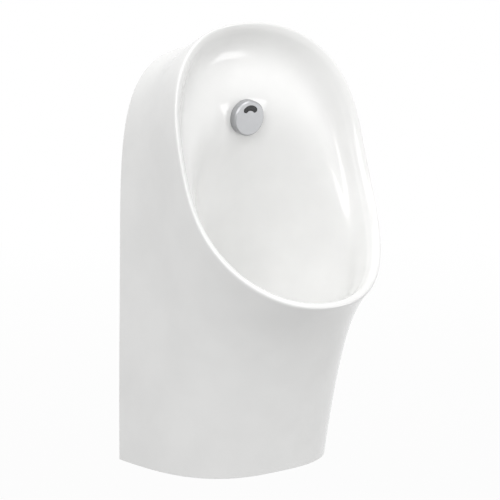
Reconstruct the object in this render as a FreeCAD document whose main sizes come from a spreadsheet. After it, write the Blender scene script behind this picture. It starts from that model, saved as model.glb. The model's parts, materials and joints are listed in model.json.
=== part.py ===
import FreeCAD, Part
import math
import os
import re

import Sketcher

# Wall hung urinal with a hidden flush valve.
# Frame: +X to the user's right, +Y into the wall, +Z up.  The wall is the plane y = 0 and the
# origin is midway between the two hanger bolts.  In the code a place is (x, depth, height):
# depth is the distance out from the wall and height is measured from the bottom edge.

Vector = FreeCAD.Vector
Rotation = FreeCAD.Rotation
Placement = FreeCAD.Placement

# Driving dimensions, millimetres (angles in degrees).
DIMENSIONS = {
    # china body: outer form
    "overall_height": 650.0,
    "rim_half_width": 162.5,
    "lip_depth": 318.5,
    "lip_height": 267.0,
    "crown_depth": 112.5,
    "rim_side_low_depth": 154.0,
    "rim_side_high_depth": 191.0,
    "arch_drop": 42.0,
    "waist_half_width": 141.7,
    "foot_half_width": 163.5,
    "foot_depth": 172.0,
    "china_wall": 12.0,
    "lip_width": 13.0,
    "lip_outer_round": 5.0,
    "lip_inner_round": 7.0,
    # china body: hanging lugs behind the crown
    "hanger_drop": 120.0,
    "hanger_spacing": 160.0,
    "lug_width": 36.0,
    "lug_thickness": 12.0,
    "lug_wall_gap": 8.0,
    "lug_foot_drop": 100.0,
    # drain
    "drain_depth": 138.0,
    "drain_height": 165.0,
    "drain_radius": 25.0,
    "seat_radius": 31.0,
    "seat_drop": 5.0,
    "horn_length": 25.0,
    # spray head
    "spray_drop": 138.0,
    "spray_hole_radius": 17.0,
    "spray_seat_depth": 0.8,
    "stem_radius": 15.0,
    "stem_bore_radius": 5.0,
    "stem_reach": 38.0,
    "cap_radius": 26.0,
    "cap_height": 12.5,
    "cap_wall": 2.5,
    "cap_chamfer": 2.0,
    "gasket_thickness": 2.0,
    "head_flange_thickness": 5.0,
    "board_thickness": 1.6,
    "window_arc_radius": 11.2,
    "window_arc_rise": 4.3,
    "window_band": 8.0,
    "window_half_angle": 44.5,
    "window_gap": 0.1,
    "washer_thickness": 3.0,
    "spray_nut_radius": 23.0,
    "spray_nut_thickness": 9.0,
    "head_slot_width": 16.0,
    "board_radius": 20.0,
    "eye_radius": 2.2,
    "elbow_radius": 8.0,
    "elbow_length": 16.0,
    "elbow_port_reach": 24.0,
    "lead_offset": 12.0,
    # shared fits
    "running_gap": 0.05,
    "seat_gap": 0.4,
    # hanger brackets
    "bracket_width": 40.0,
    "bracket_drop": 20.0,
    "bracket_plate": 4.0,
    "bracket_hook_rise": 10.0,
    "bracket_hook_gap": 1.0,
    "hanger_bolt_hole_radius": 4.5,
    # water supply
    "inlet_drop": 84.0,
    "inlet_thread_radius": 10.5,
    "inlet_socket_radius": 15.0,
    "inlet_socket_length": 14.0,
    "stop_barrel_radius": 13.0,
    "stop_barrel_length": 36.0,
    "stop_port_depth": 34.0,
    "filter_radius": 8.0,
    "filter_wall": 0.8,
    "filter_length": 20.0,
    "port_radius": 8.0,
    "pipe_radius": 5.0,
    "pipe_wall": 1.2,
    "pipe_run": 30.0,
    "union_radius": 9.5,
    "union_length": 9.0,
    "stop_port_reach": 30.0,
    "port_bore_radius": 4.0,
    "spindle_radius": 4.0,
    "spindle_inner": 10.0,
    "spindle_length": 34.0,
    "spindle_boss_reach": 22.0,
    "spindle_slot": 1.2,
    "packing_radius": 9.0,
    "packing_length": 7.0,
    # flush valve, left of the bowl
    "valve_offset": 96.0,
    "valve_depth": 40.0,
    "valve_drop": 180.0,
    "valve_width": 44.0,
    "valve_thickness": 30.0,
    "valve_tall": 30.0,
    "valve_chamber_radius": 11.0,
    "valve_chamber_depth": 8.0,
    "diaphragm_radius": 13.0,
    "diaphragm_thickness": 1.5,
    "valve_port_reach": 12.0,
    "bonnet_thickness": 6.0,
    "bonnet_tube_wall": 1.5,
    "bonnet_end": 2.0,
    "coil_radius": 14.0,
    "coil_length": 30.0,
    "plunger_radius": 4.0,
    "plunger_length": 22.0,
    "plunger_rest_gap": 0.1,
    "spring_wire_radius": 0.4,
    "spring_radius": 2.6,
    "spring_length": 13.0,
    "spring_turns": 6.0,
    "valve_bracket_plate": 3.0,
    # control box
    "box_left": 128.0,
    "box_width": 72.0,
    "box_depth": 42.0,
    "box_foot_height": 150.0,
    "box_tall": 92.0,
    "box_wall": 2.0,
    "lid_thickness": 2.5,
    "bay_width": 35.0,
    "lid_screw_radius": 1.5,
    "lid_screw_head": 3.0,
    "lid_screw_length": 10.0,
    "boss_radius": 3.5,
    "control_board_inset": 12.0,
    "battery_radius": 7.25,
    "battery_length": 50.5,
    "battery_gap": 0.2,
    "tray_gap": 0.5,
    "tray_base": 2.0,
    # trap
    "flange_thickness": 2.5,
    "flange_seal": 1.5,
    "tail_wall": 2.0,
    "tail_radius": 23.5,
    "tail_dip": 10.0,
    "drain_nut_radius": 36.0,
    "drain_nut_thickness": 10.0,
    "nut_gap": 1.0,
    "trap_radius": 31.0,
    "trap_wall": 2.5,
    "trap_tall": 66.0,
    "cup_radius": 34.5,
    "cup_tall": 34.0,
    "cup_gap": 2.5,
    "cup_seal": 2.0,
    "outlet_drop": 28.0,
    "outlet_radius": 25.0,
    "outlet_wall": 2.0,
    "outlet_plug": 10.0,
    "outlet_shoulder": 1.0,
    "outlet_stub_wall": 2.5,
    "outlet_stub_reach": 36.0,
    "outlet_nut_radius": 33.0,
    "outlet_nut_length": 14.0,
    "wall_seal_radius": 36.0,
    "wall_seal_thickness": 8.0,
    "strainer_gap": 0.5,
    "strainer_thickness": 1.6,
    "strainer_skirt": 6.0,
    "strainer_skirt_wall": 1.2,
    "strainer_hole_radius": 1.9,
    "strainer_knob_radius": 4.0,
    "strainer_knob_rise": 5.0,
    # lower wall angles
    "angle_height": 48.0,
    "angle_inset": 45.5,
    "angle_reach": 46.0,
    "angle_tall": 34.0,
    "angle_plate": 4.0,
    "angle_flange": 26.0,
    "angle_hole_radius": 3.5,
    "clamp_depth": 30.0,
    "clamp_start": 16.0,
    "clamp_screw_radius": 4.0,
    "clamp_pad_radius": 9.0,
    "clamp_pad_thickness": 4.0,
    # leads
    "lead_radius": 1.6,
}

# Sizes that follow from the driving dimensions.  Heights are above the bottom edge.
DERIVED = {
    "arch_height": "overall_height - arch_drop",
    "hanger_height": "overall_height - hanger_drop",
    "lug_foot_height": "overall_height - lug_foot_drop",
    "inlet_height": "overall_height - inlet_drop",
    "spray_height": "overall_height - spray_drop",
    "valve_height": "overall_height - valve_drop",
    "seat_height": "drain_height - seat_drop",
    "horn_foot_height": "seat_height - horn_length",
    "trap_top_height": "horn_foot_height - 2 * drain_nut_thickness - nut_gap",
    "trap_foot_height": "trap_top_height - trap_tall",
    "tail_foot_height": "trap_foot_height - tail_dip",
    "cup_foot_height": "trap_foot_height - cup_tall",
    "outlet_height": "trap_top_height - outlet_drop",
    "cup_rim_height": "outlet_height - outlet_radius - outlet_stub_wall - cup_gap",
    "angle_offset": "foot_half_width - angle_inset",
}

doc = FreeCAD.newDocument("wall_hung_urinal")
dims = doc.addObject("Spreadsheet::Sheet", "dims")
for row, (alias, number) in enumerate(DIMENSIONS.items(), start=1):
    dims.set(f"A{row}", alias)
    dims.set(f"B{row}", str(number))
    dims.setAlias(f"B{row}", alias)
doc.recompute()

nodes = {}


def bound(expression):
    """Put the sheet's name before each alias, and write out each height that follows."""
    def named(match):
        word = match.group()
        if word in DERIVED:
            return f"({bound(DERIVED[word])})"
        return "dims." + word if word in DIMENSIONS else word
    return re.sub(r"[a-z_]{3,}", named, str(expression))


known_values = {}


def value(expression):
    """The number that an expression in the sheet's aliases has."""
    if expression not in known_values:
        result = dims.evalExpression(bound(expression))
        known_values[expression] = float(getattr(result, "Value", result))
    return known_values[expression]


def at(x, depth, height):
    """A point of the frame from x, distance out from the wall and height above the bottom edge."""
    return Vector(x, -depth, height - value("hanger_height"))


# ---------------------------------------------------------------------------
# Helpers for sub-parts.  Local +Z of a turned part lies along the named way.
UP = Rotation()
FORWARD = Rotation(Vector(1, 0, 0), 90)
RIGHT = Rotation(Vector(0, 1, 0), 90)
LEFT = Rotation(Vector(0, 1, 0), -90)


def place(part, x, depth, height, turn=UP):
    """Turn a part and bind its origin to (x, depth, height) expressions."""
    part.Placement = Placement(Vector(), turn)
    part.setExpression("Placement.Base.x", bound(x))
    part.setExpression("Placement.Base.y", bound(f"-({depth})"))
    part.setExpression("Placement.Base.z", bound(f"({height}) - hanger_height"))
    return part


def node(part, name):
    """Give a part its own name and list it as one of the object's pieces."""
    part.Label = name
    nodes[name] = part
    return part


def plane_of(body, role):
    """One origin plane of a body."""
    return [feature for feature in body.Origin.OriginFeatures if feature.Role == role][0]


def sketch_on(body, name, role):
    """An empty sketch on one of the body's origin planes."""
    sketch = body.newObject("Sketcher::SketchObject", name)
    sketch.AttachmentSupport = [(plane_of(body, role), "")]
    sketch.MapMode = "FlatFace"
    return sketch


def draw_outline(sketch, outline):
    """A closed polygon whose corners are bound to pairs of expressions."""
    corners = [(value(u), value(w)) for u, w in outline]
    first = sketch.GeometryCount
    count = len(corners)
    for index, (u, w) in enumerate(corners):
        u_next, w_next = corners[(index + 1) % count]
        line = Part.LineSegment(Vector(u, w, 0), Vector(u_next, w_next, 0))
        sketch.addGeometry(line, False)
    for index in range(count):
        follower = first + (index + 1) % count
        sketch.addConstraint(Sketcher.Constraint("Coincident", first + index, 2, follower, 1))
    for index, corner in enumerate(outline):
        for kind, expression in zip(("DistanceX", "DistanceY"), corner):
            number = value(expression)
            rule = Sketcher.Constraint(kind, -1, 1, first + index, 1, number)
            handle = sketch.addConstraint(rule)
            sketch.setExpression(f"Constraints[{handle}]", bound(expression))


def draw_circle(sketch, u, w, radius):
    """A circle whose centre and radius are bound to expressions."""
    centre = Vector(value(u), value(w), 0)
    index = sketch.addGeometry(Part.Circle(centre, Vector(0, 0, 1), value(radius)), False)
    for kind, expression in (("DistanceX", u), ("DistanceY", w)):
        rule = Sketcher.Constraint(kind, -1, 1, index, 3, value(expression))
        handle = sketch.addConstraint(rule)
        sketch.setExpression(f"Constraints[{handle}]", bound(expression))
    handle = sketch.addConstraint(Sketcher.Constraint("Radius", index, value(radius)))
    sketch.setExpression(f"Constraints[{handle}]", bound(radius))


def lathe(name, outline):
    """A body turned about local Z from an outline of (radius, height) expressions."""
    body = doc.addObject("PartDesign::Body", name)
    sketch = sketch_on(body, name + "_outline", "XZ_Plane")
    draw_outline(sketch, outline)
    turned = body.newObject("PartDesign::Revolution", name + "_turned")
    turned.Profile = sketch
    turned.ReferenceAxis = (sketch, ["V_Axis"])
    turned.Angle = 360
    return body


def tube_outline(inner, outer, low, high):
    """Outline of a plain ring between two radii and two heights."""
    return [(inner, low), (outer, low), (outer, high), (inner, high)]


def pad(name, thickness, outlines, circles=()):
    """A body of constant thickness along local Z, with polygon and circle outlines."""
    body = doc.addObject("PartDesign::Body", name)
    sketch = sketch_on(body, name + "_outline", "XY_Plane")
    for outline in outlines:
        draw_outline(sketch, outline)
    for circle in circles:
        draw_circle(sketch, *circle)
    padded = body.newObject("PartDesign::Pad", name + "_pad")
    padded.Profile = sketch
    padded.setExpression("Length", bound(thickness))
    return body


def rectangle(u_low, u_high, w_low, w_high):
    """Outline of a rectangle."""
    return [(u_low, w_low), (u_high, w_low), (u_high, w_high), (u_low, w_high)]


def hexagon(radius):
    """Outline of a hexagon with this corner radius."""
    steps = [math.radians(60 * index) for index in range(6)]
    return [(f"({radius}) * {math.cos(step):.6f}", f"({radius}) * {math.sin(step):.6f}")
            for step in steps]


def block(name, x_low, x_high, depth_low, depth_high, height_low, height_high):
    """A box between limits along x, depth and height."""
    part = doc.addObject("Part::Box", name)
    part.setExpression("Length", bound(f"({x_high}) - ({x_low})"))
    part.setExpression("Width", bound(f"({depth_high}) - ({depth_low})"))
    part.setExpression("Height", bound(f"({height_high}) - ({height_low})"))
    return place(part, x_low, depth_high, height_low)


def rod(name, radius, length):
    """A cylinder along local Z."""
    part = doc.addObject("Part::Cylinder", name)
    part.setExpression("Radius", bound(radius))
    part.setExpression("Height", bound(length))
    return part


def cut(name, base, *tools):
    """One part minus the others."""
    for index, tool in enumerate(tools):
        part = doc.addObject("Part::Cut", f"{name}_{index}" if index < len(tools) - 1 else name)
        part.Base = base
        part.Tool = tool
        base = part
    return part


def fuse(name, *shapes):
    """Several parts joined to one."""
    part = doc.addObject("Part::MultiFuse", name)
    part.Shapes = list(shapes)
    part.Refine = True
    return part


def group(name, *shapes):
    """Identical separate pieces under one name."""
    part = doc.addObject("Part::Compound", name)
    part.Links = list(shapes)
    return part


# ---------------------------------------------------------------------------
# The china body.  A closed ring runs from the crown line to the front line; it is a rounded
# superellipse in a plane that leans further back the further it is from the rim.
SIDES = {"left": -1, "right": 1}
COLUMNS = 96
SKIN_LIMIT = 0.95
RING_BUNCH_SIDE = 1.4
RING_BUNCH_CROWN = 1.1


def bezier(poles, share):
    """Point of a Bezier curve; poles are numbers or tuples."""
    last = len(poles) - 1
    weights = [math.comb(last, i) * share ** i * (1 - share) ** (last - i) for i in range(last + 1)]
    if isinstance(poles[0], tuple):
        return [sum(w * pole[axis] for w, pole in zip(weights, poles)) for axis in (0, 1)]
    return sum(w * pole for w, pole in zip(weights, poles))


def cubic_spline(poles, share):
    """Point of a clamped uniform cubic B-spline by the de Boor steps."""
    spans = len(poles) - 3
    knots = [0.0] * 3 + [i / spans for i in range(spans + 1)] + [1.0] * 3
    span = min(int(share * spans), spans - 1) + 3
    pair = isinstance(poles[0], tuple)
    work = [list(poles[span - 3 + i]) if pair else [poles[span - 3 + i]] for i in range(4)]
    for level in range(1, 4):
        for i in range(3, level - 1, -1):
            low = knots[span - 3 + i]
            high = knots[span + 1 + i - level]
            mix = (share - low) / (high - low)
            work[i] = [(1 - mix) * a + mix * b for a, b in zip(work[i - 1], work[i])]
    return work[3] if pair else work[3][0]


def signed_power(number, power):
    return math.copysign(abs(number) ** power, number)


def ring_angle(column):
    """Angle of a column round the ring: 0 at +x, a quarter turn at the crown."""
    quarter, share = divmod(4.0 * column / COLUMNS, 1.0)
    share = share if quarter % 2 == 0 else 1 - share
    side = share ** RING_BUNCH_SIDE
    crown = (1 - share) ** RING_BUNCH_CROWN
    angle = side / (side + crown) * math.pi / 2
    return {0: angle, 1: math.pi - angle, 2: math.pi + angle, 3: -angle}[int(quarter) % 4]


def rim_poles():
    """(depth, height) poles of the rim's side line, from the lip to the crown."""
    lip = value("lip_height")
    third = (value("overall_height") - lip) / 3
    depths = ["lip_depth", "rim_side_low_depth", "rim_side_high_depth", "crown_depth"]
    return [(value(depth), lip + third * step) for step, depth in enumerate(depths)]


def crown_line():
    """Poles of the outer skin's top line: from the rim's crown back through the wall."""
    arch = value("arch_height")
    crown = value("crown_depth")
    top = value("overall_height")
    return [(crown, top), (crown - 100.0, top - 42.0), (0.35 * crown, arch - 23.5),
            (0.0, arch), (-260.0, arch + 60.0), (-520.0, arch + 180.0)]


def front_line():
    """Poles of the outer skin's front line: from the lip down and back through the floor edge."""
    depth = value("lip_depth")
    height = value("lip_height")
    foot = value("foot_depth")
    return [(depth, height), (depth - 82.5, height - 59.0), (foot + 56.5, 0.55 * height),
            (foot, 0.0), (foot - 32.0, -230.0), (foot - 53.5, -520.0)]


def skin_half_widths():
    rim = value("rim_half_width")
    waist = value("waist_half_width")
    foot = value("foot_half_width")
    return [rim, rim - 4.75, waist, waist, foot, foot]


def rim_side_offset(across):
    """How far the rim's curved side line stands from the straight line, at -1 lip to 1 crown."""
    share = (across + 1) / 2
    poles = rim_poles()
    straight = poles[0][0] + (poles[3][0] - poles[0][0]) * share
    return bezier([pole[0] for pole in poles], share) - straight


def ring_point(top, bottom, half_width, roundness, angle, inset, fade):
    """Point of the superellipse ring between a top and a bottom point of the x = 0 plane."""
    across = signed_power(math.sin(angle), 2 / roundness[0])
    along = signed_power(math.cos(angle), 2 / roundness[1])
    middle = [(a + b) / 2 for a, b in zip(top, bottom)]
    reach = [(a - b) / 2 for a, b in zip(top, bottom)]
    across *= 1 - inset / math.hypot(*reach)
    depth = middle[0] + reach[0] * across + rim_side_offset(across) * fade
    return at((half_width - inset) * along, depth, middle[1] + reach[1] * across)


def skin_point(share, column):
    """Outer skin: share 0 on the rim, growing towards the wall and the bottom edge."""
    roundness = (2.87 + 0.94 * share ** 0.7, 2.21 + 1.02 * share ** 0.7)
    return ring_point(bezier(crown_line(), share), bezier(front_line(), share),
                      bezier(skin_half_widths(), share), roundness, ring_angle(column),
                      0.0, 1 - share)


def bowl_back_line():
    """Poles of the bowl's back on x = 0: cove, swell that carries the spray head, trough."""
    crown = value("crown_depth")
    top = value("overall_height")
    spray = value("spray_height")
    drain = value("drain_height")
    seat = value("drain_depth") - value("seat_radius")
    fall = spray - drain
    return [(crown - 3.5, top - 12.5), (crown - 16.5, top - 17.0), (crown - 30.5, top - 32.0),
            (crown - 24.5, top - 70.0), (crown - 1.5, spray + 23.0), (crown - 13.5, spray - 32.0),
            (crown - 42.5, drain + 0.706 * fall), (crown - 58.5, drain + 0.447 * fall),
            (crown - 58.5, drain + 0.173 * fall), (seat - 37.0, drain + 18.0),
            (seat, drain)]


def bowl_front_line():
    """Poles of the bowl's front on x = 0: down inside the lip to the drain seat."""
    depth = value("lip_depth")
    height = value("lip_height")
    drain = value("drain_height")
    seat = value("drain_depth") + value("seat_radius")
    return [(depth - 10.3, height + 8.0), (depth - 21.5, height - 2.0),
            (depth - 33.5, height - 13.0), (depth - 45.5, height - 24.0),
            (depth - 58.5, height - 41.0), (depth - 71.5, height - 59.0),
            (depth - 84.5, height - 75.0), (seat + 46.0, drain + 16.0),
            (seat + 33.0, drain + 10.0), (seat + 17.0, drain + 4.0), (seat, drain)]


def bowl_half_widths():
    rim = value("rim_half_width") - value("lip_width")
    seat = value("seat_radius")
    return [rim, rim - 1.5, rim - 5.5, rim - 11.5, rim - 20.5, rim - 31.5, rim - 45.5,
            88.0, 66.0, seat + 11.0, seat]


def solve(function, low, high):
    """Share where a function that falls through zero crosses it."""
    for _ in range(40):
        middle = (low + high) / 2
        if function(middle) > 0:
            low = middle
        else:
            high = middle
    return (low + high) / 2


def head_frame():
    """Frame of the spray head: on the bowl's back line, local Z square to the bowl."""
    line = bowl_back_line()
    spray = value("spray_height")
    share = solve(lambda where: cubic_spline(line, where)[1] - spray, 0.0, 0.8)
    depth, height = cubic_spline(line, share)
    depth_near, height_near = cubic_spline(line, share + 0.001)
    lean = math.degrees(math.atan2(depth - depth_near, height - height_near))
    turn = Rotation(Vector(1, 0, 0), 90 + lean)
    sunk = turn.multVec(Vector(0, 0, -value("spray_seat_depth")))
    return Placement(at(0, depth, height) + sunk, turn)


HEAD = head_frame()
HEAD_WAY = HEAD.Rotation.multVec(Vector(0, 0, 1))
PAD_FLAT = 1.15 * value("cap_radius")
PAD_FADE = 2.2 * value("cap_radius")


def pad_faced(point):
    """Ease a bowl point onto the flat pad that carries the spray head."""
    offset = point - HEAD.Base
    radius = (offset - HEAD_WAY * offset.dot(HEAD_WAY)).Length
    out = offset.dot(HEAD_WAY) - value("spray_seat_depth")
    share = min(max((radius - PAD_FLAT) / (PAD_FADE - PAD_FLAT), 0.0), 1.0)
    if abs(out) > value("cap_radius"):
        return point
    return point - HEAD_WAY * (out * (1 - share * share * (3 - 2 * share)))


def bowl_point(share, column):
    """Bowl: share 0 inside the rim, 1 on the edge of the drain seat."""
    roundness = (2.87 - 0.87 * share, 2.21 - 0.21 * share)
    point = ring_point(cubic_spline(bowl_back_line(), share),
                       cubic_spline(bowl_front_line(), share),
                       cubic_spline(bowl_half_widths(), share), roundness, ring_angle(column),
                       0.0, (1 - share) ** 2)
    return pad_faced(point)


def surface_normal(surface, share, column):
    """Unit normal of a ring surface from differences along its two ways."""
    small = 0.004
    low = max(share - small, 0.0)
    high = min(share + small, 1.0)
    along = surface(high, column) - surface(low, column)
    around = surface(share, column + 0.4) - surface(share, column - 0.4)
    normal = along.cross(around)
    return normal.normalize()


def ring_of(pick):
    """A row of poles, one for each column."""
    return [pick(column) for column in range(COLUMNS)]


def skin_edge(column):
    """Share at which a column of the outer skin meets the wall or the bottom edge."""
    def inside(share):
        point = skin_point(share, column)
        return min(-point.y, point.z + value("hanger_height"))
    return solve(inside, 0.0, SKIN_LIMIT)


def skin_ends():
    """Share just past the wall or the bottom edge, eased from column to column."""
    edges = [skin_edge(column) for column in range(COLUMNS)]
    reach = 4
    spread = range(-reach, reach + 1)
    peaks = [max(edges[(column + step) % COLUMNS] for step in spread)
             for column in range(COLUMNS)]
    return [0.04 + sum(peaks[(column + step) % COLUMNS] for step in spread) / len(spread)
            for column in range(COLUMNS)]


SKIN_ENDS = skin_ends()


def unit_across(direction, tangent):
    """Part of a direction square to a tangent, as a unit vector."""
    square = direction - tangent * direction.dot(tangent)
    return square.normalize()


class Lip:
    """Rounded edge between the bowl and the outer skin at one column."""

    def __init__(self, column):
        ahead = skin_point(0.0, column + 0.4)
        behind = skin_point(0.0, column - 0.4)
        tangent = (ahead - behind).normalize()
        self.outer = skin_point(0.0, column)
        inner = bowl_point(0.0, column)
        self.inward = unit_across(inner - self.outer, tangent)
        self.inner = self.outer + self.inward * value("lip_width")
        self.skin_way = unit_across(skin_point(0.01, column) - self.outer, tangent)
        self.bowl_way = unit_across(bowl_point(0.03, column) - inner, tangent)

    def outer_round(self, share):
        """Parabola from the outer skin (share 0) to the lip's face (share 1)."""
        setback = value("lip_outer_round")
        return (self.outer + self.skin_way * setback * (1 - share) ** 2
                + self.inward * setback * share ** 2)

    def inner_round(self, share):
        """Parabola from the lip's face (share 0) to the bowl (share 1)."""
        setback = value("lip_inner_round")
        return (self.inner - self.inward * setback * (1 - share) ** 2
                + self.bowl_way * setback * share ** 2)


def ring_row(radius, height):
    """A level circle round the drain, column by column."""
    centre = value("drain_depth")
    row = []
    for column in range(COLUMNS):
        angle = ring_angle(column)
        row.append(at(radius * math.cos(angle), centre - radius * math.sin(angle), height))
    return row


def wall_gap(surface_row, point):
    """Distance from a point to the nearest of a row of points."""
    return min(point.distanceToPoint(other) for other in surface_row)


def glazed_rows():
    """Rows of poles from the drain seat up the bowl, over the lip and down the outer skin."""
    bowl_shares = [1.0, 0.97, 0.93, 0.88, 0.83, 0.78, 0.72, 0.66, 0.60, 0.54, 0.48, 0.42, 0.36,
                   0.30, 0.25, 0.20, 0.16, 0.12, 0.09, 0.06, 0.04]
    near_shares = [0.022, 0.04, 0.07, 0.10]
    far_steps = 14
    lips = [Lip(column) for column in range(COLUMNS)]
    rows = [ring_of(lambda column, share=share: bowl_point(share, column))
            for share in bowl_shares]
    rows += [[lip.inner_round(share) for lip in lips] for share in (1.0, 0.66, 0.33, 0.0)]
    rows += [[lip.outer_round(share) for lip in lips] for share in (0.9, 0.6, 0.3, 0.0)]
    rows += [ring_of(lambda column, share=share: skin_point(share, column))
             for share in near_shares]
    last = near_shares[-1]
    for step in range(1, far_steps + 1):
        rows.append([skin_point(last + (end - last) * step / far_steps, column)
                     for column, end in enumerate(SKIN_ENDS)])
    return rows


def hidden_rows():
    """Rows of poles behind the glaze: up inside the skin, round under the lip, down the bowl."""
    wall = value("china_wall")
    clear_gap = 2 * wall + 8.0
    skin_steps = 16
    bowl_steps = 16
    bowl_last = 0.90
    fine = [0.02 * step for step in range(1, 46)]
    columns = []
    for column in range(COLUMNS):
        bowl_line = [bowl_point(share, column) for share in fine]
        start = next(share for share in fine
                     if wall_gap(bowl_line, skin_point(share, column)) > clear_gap)
        edge = skin_point(start, column)
        gaps = [edge.distanceToPoint(point) for point in bowl_line]
        bowl_start = fine[gaps.index(min(gaps))]
        line = []
        for step in range(skin_steps):
            share = SKIN_ENDS[column] + (start - SKIN_ENDS[column]) * step / (skin_steps - 1)
            normal = surface_normal(skin_point, share, column)
            line.append(skin_point(share, column) - normal * wall)
        for step in range(bowl_steps):
            share = bowl_start + (bowl_last - bowl_start) * step / (bowl_steps - 1)
            normal = surface_normal(bowl_point, share, column)
            line.append(bowl_point(share, column) + normal * wall)
        columns.append(line)
    rows = [list(row) for row in zip(*columns)]
    horn = value("drain_radius") + value("china_wall")
    foot = value("horn_foot_height")
    rows.append(ring_row(horn + 1.0, foot + 12.0))
    rows.append(ring_row(horn, foot + 6.0))
    rows.append(ring_row(horn, foot))
    return rows


def closed_surface(rows):
    """A surface closed round its columns: cubic where there are rows enough, else straight."""
    degree = 3 if len(rows) > 3 else 1
    spans = len(rows) - degree
    surface = Part.BSplineSurface()
    surface.buildFromPolesMultsKnots(
        rows, [degree + 1] + [1] * (spans - 1) + [degree + 1], [1] * (COLUMNS + 1),
        [i / spans for i in range(spans + 1)], [i / COLUMNS for i in range(COLUMNS + 1)],
        False, True, degree, 3)
    return surface.toShape()


def china_shell():
    """The hollow casting, before its lugs and holes."""
    glazed = glazed_rows()
    hidden = hidden_rows()
    seat = value("seat_height")
    foot = value("horn_foot_height")
    steps = [glazed[0], ring_row(value("seat_radius"), seat), ring_row(value("drain_radius"), seat),
             ring_row(value("drain_radius"), foot), hidden[-1]]
    faces = [closed_surface(glazed), closed_surface(hidden),
             closed_surface([glazed[-1], hidden[0]])]
    faces += [closed_surface([low, high]) for low, high in zip(steps, steps[1:])]
    shell = Part.makeShell(faces)
    shell.sewShape()
    solid = Part.makeSolid(shell.Shells[0] if shell.ShapeType != "Shell" else shell)
    if solid.Volume < 0:
        solid.reverse()
    half, front = 2 * value("rim_half_width"), 2 * value("lip_depth")
    room = Part.makeBox(2 * half, front, 2 * value("overall_height"), at(-half, front, 0))
    return solid.common(room)


def arch_top(x, depth):
    """Height of the outer skin's arch over a place at x, this far from the wall."""
    crossings = []
    for column in range(COLUMNS // 2 + 1):
        share = solve(lambda where: -skin_point(where, column).y - depth, 0.0, SKIN_LIMIT)
        point = skin_point(share, column)
        crossings.append((point.x, point.z + value("hanger_height")))
    for (x_outer, outer_height), (x_inner, inner_height) in zip(crossings, crossings[1:]):
        if x_inner <= x <= x_outer:
            mix = (x_outer - x) / (x_outer - x_inner)
            return outer_height + (inner_height - outer_height) * mix
    return crossings[-1][1]


def skin_side(depth, height):
    """Half width of the outer skin at a place beside the trap."""
    def share_at(column):
        return solve(lambda where: skin_point(where, column).z + value("hanger_height") - height,
                     0.0, SKIN_LIMIT)

    def depth_at(column):
        return -skin_point(share_at(column), column).y
    low, high = 3.0 * COLUMNS / 4, 1.0 * COLUMNS
    column = solve(lambda where: depth_at(where) - depth, low, high)
    return skin_point(share_at(column), column).x


def hanging_lug(side):
    """Rib behind the crown that rests in a hanger bracket; side is -1 or 1."""
    half = value("lug_width") / 2
    centre = value("hanger_spacing") / 2
    depth = value("lug_wall_gap")
    foot = value("lug_foot_height")
    places = [centre - half + 2 * half * step / 6 for step in range(7)]
    heights = [arch_top(x, depth) - value("china_wall") / 2 for x in places]
    corners = [at(side * x, depth, top) for x, top in zip(places, heights)]
    corners += [at(side * places[-1], depth, foot), at(side * places[0], depth, foot)]
    face = Part.Face(Part.makePolygon(corners + corners[:1]))
    return face.extrude(Vector(0, -value("lug_thickness"), 0))


def feature(name, shape):
    """A part whose shape comes straight from the geometry functions."""
    part = doc.addObject("Part::Feature", name)
    part.Shape = shape
    part.Placement = Placement()
    return part


def on_head(part, x=0.0, up=0.0, out=0.0, turn=UP):
    """Place a part in the spray head's frame."""
    part.Placement = HEAD.multiply(Placement(Vector(x, up, out), turn))
    return part


def make_china():
    """Body, lugs, spray head hole with its two faced seats."""
    shell = feature("china_shell", china_shell())
    lugs = [feature(f"china_lug_{word}", hanging_lug(side)) for word, side in SIDES.items()]
    solid = fuse("china_solid", shell, *lugs)
    seat = "china_wall - 2 * spray_seat_depth"
    far = "2 * china_wall"
    face = "cap_radius + seat_gap"
    spool = lathe("china_hole", [
        ("0", f"-({seat}) - {far}"), (face, f"-({seat}) - {far}"), (face, f"-({seat})"),
        ("spray_hole_radius", f"-({seat})"), ("spray_hole_radius", "0"), (face, "0"),
        (face, far), ("0", far)])
    node(cut("china", solid, on_head(spool)), "ceramic_body")


# ---------------------------------------------------------------------------
# Hanger brackets on the wall and the lower wall angles.
def make_brackets():
    for word, side in SIDES.items():
        low = f"{side} * hanger_spacing / 2 - bracket_width / 2"
        high = f"{side} * hanger_spacing / 2 + bracket_width / 2"
        floor = "lug_foot_height - bracket_plate"
        front = "lug_wall_gap + lug_thickness + bracket_hook_gap"
        name = f"bracket_{word}"
        plate = block(name + "_plate", low, high, "0", "bracket_plate",
                      "hanger_height - bracket_drop", "lug_foot_height")
        arm = block(name + "_arm", low, high, "0", front, floor, "lug_foot_height")
        lip = block(name + "_lip", low, high, front, front + " + bracket_plate", floor,
                    "lug_foot_height + bracket_hook_rise")
        hole = place(rod(name + "_hole", "hanger_bolt_hole_radius", "3 * bracket_plate"),
                     f"{side} * hanger_spacing / 2", "-bracket_plate", "hanger_height", FORWARD)
        node(cut(name, fuse(name + "_steel", plate, arm, lip), hole), f"hanger_bracket_{word}")


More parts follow.
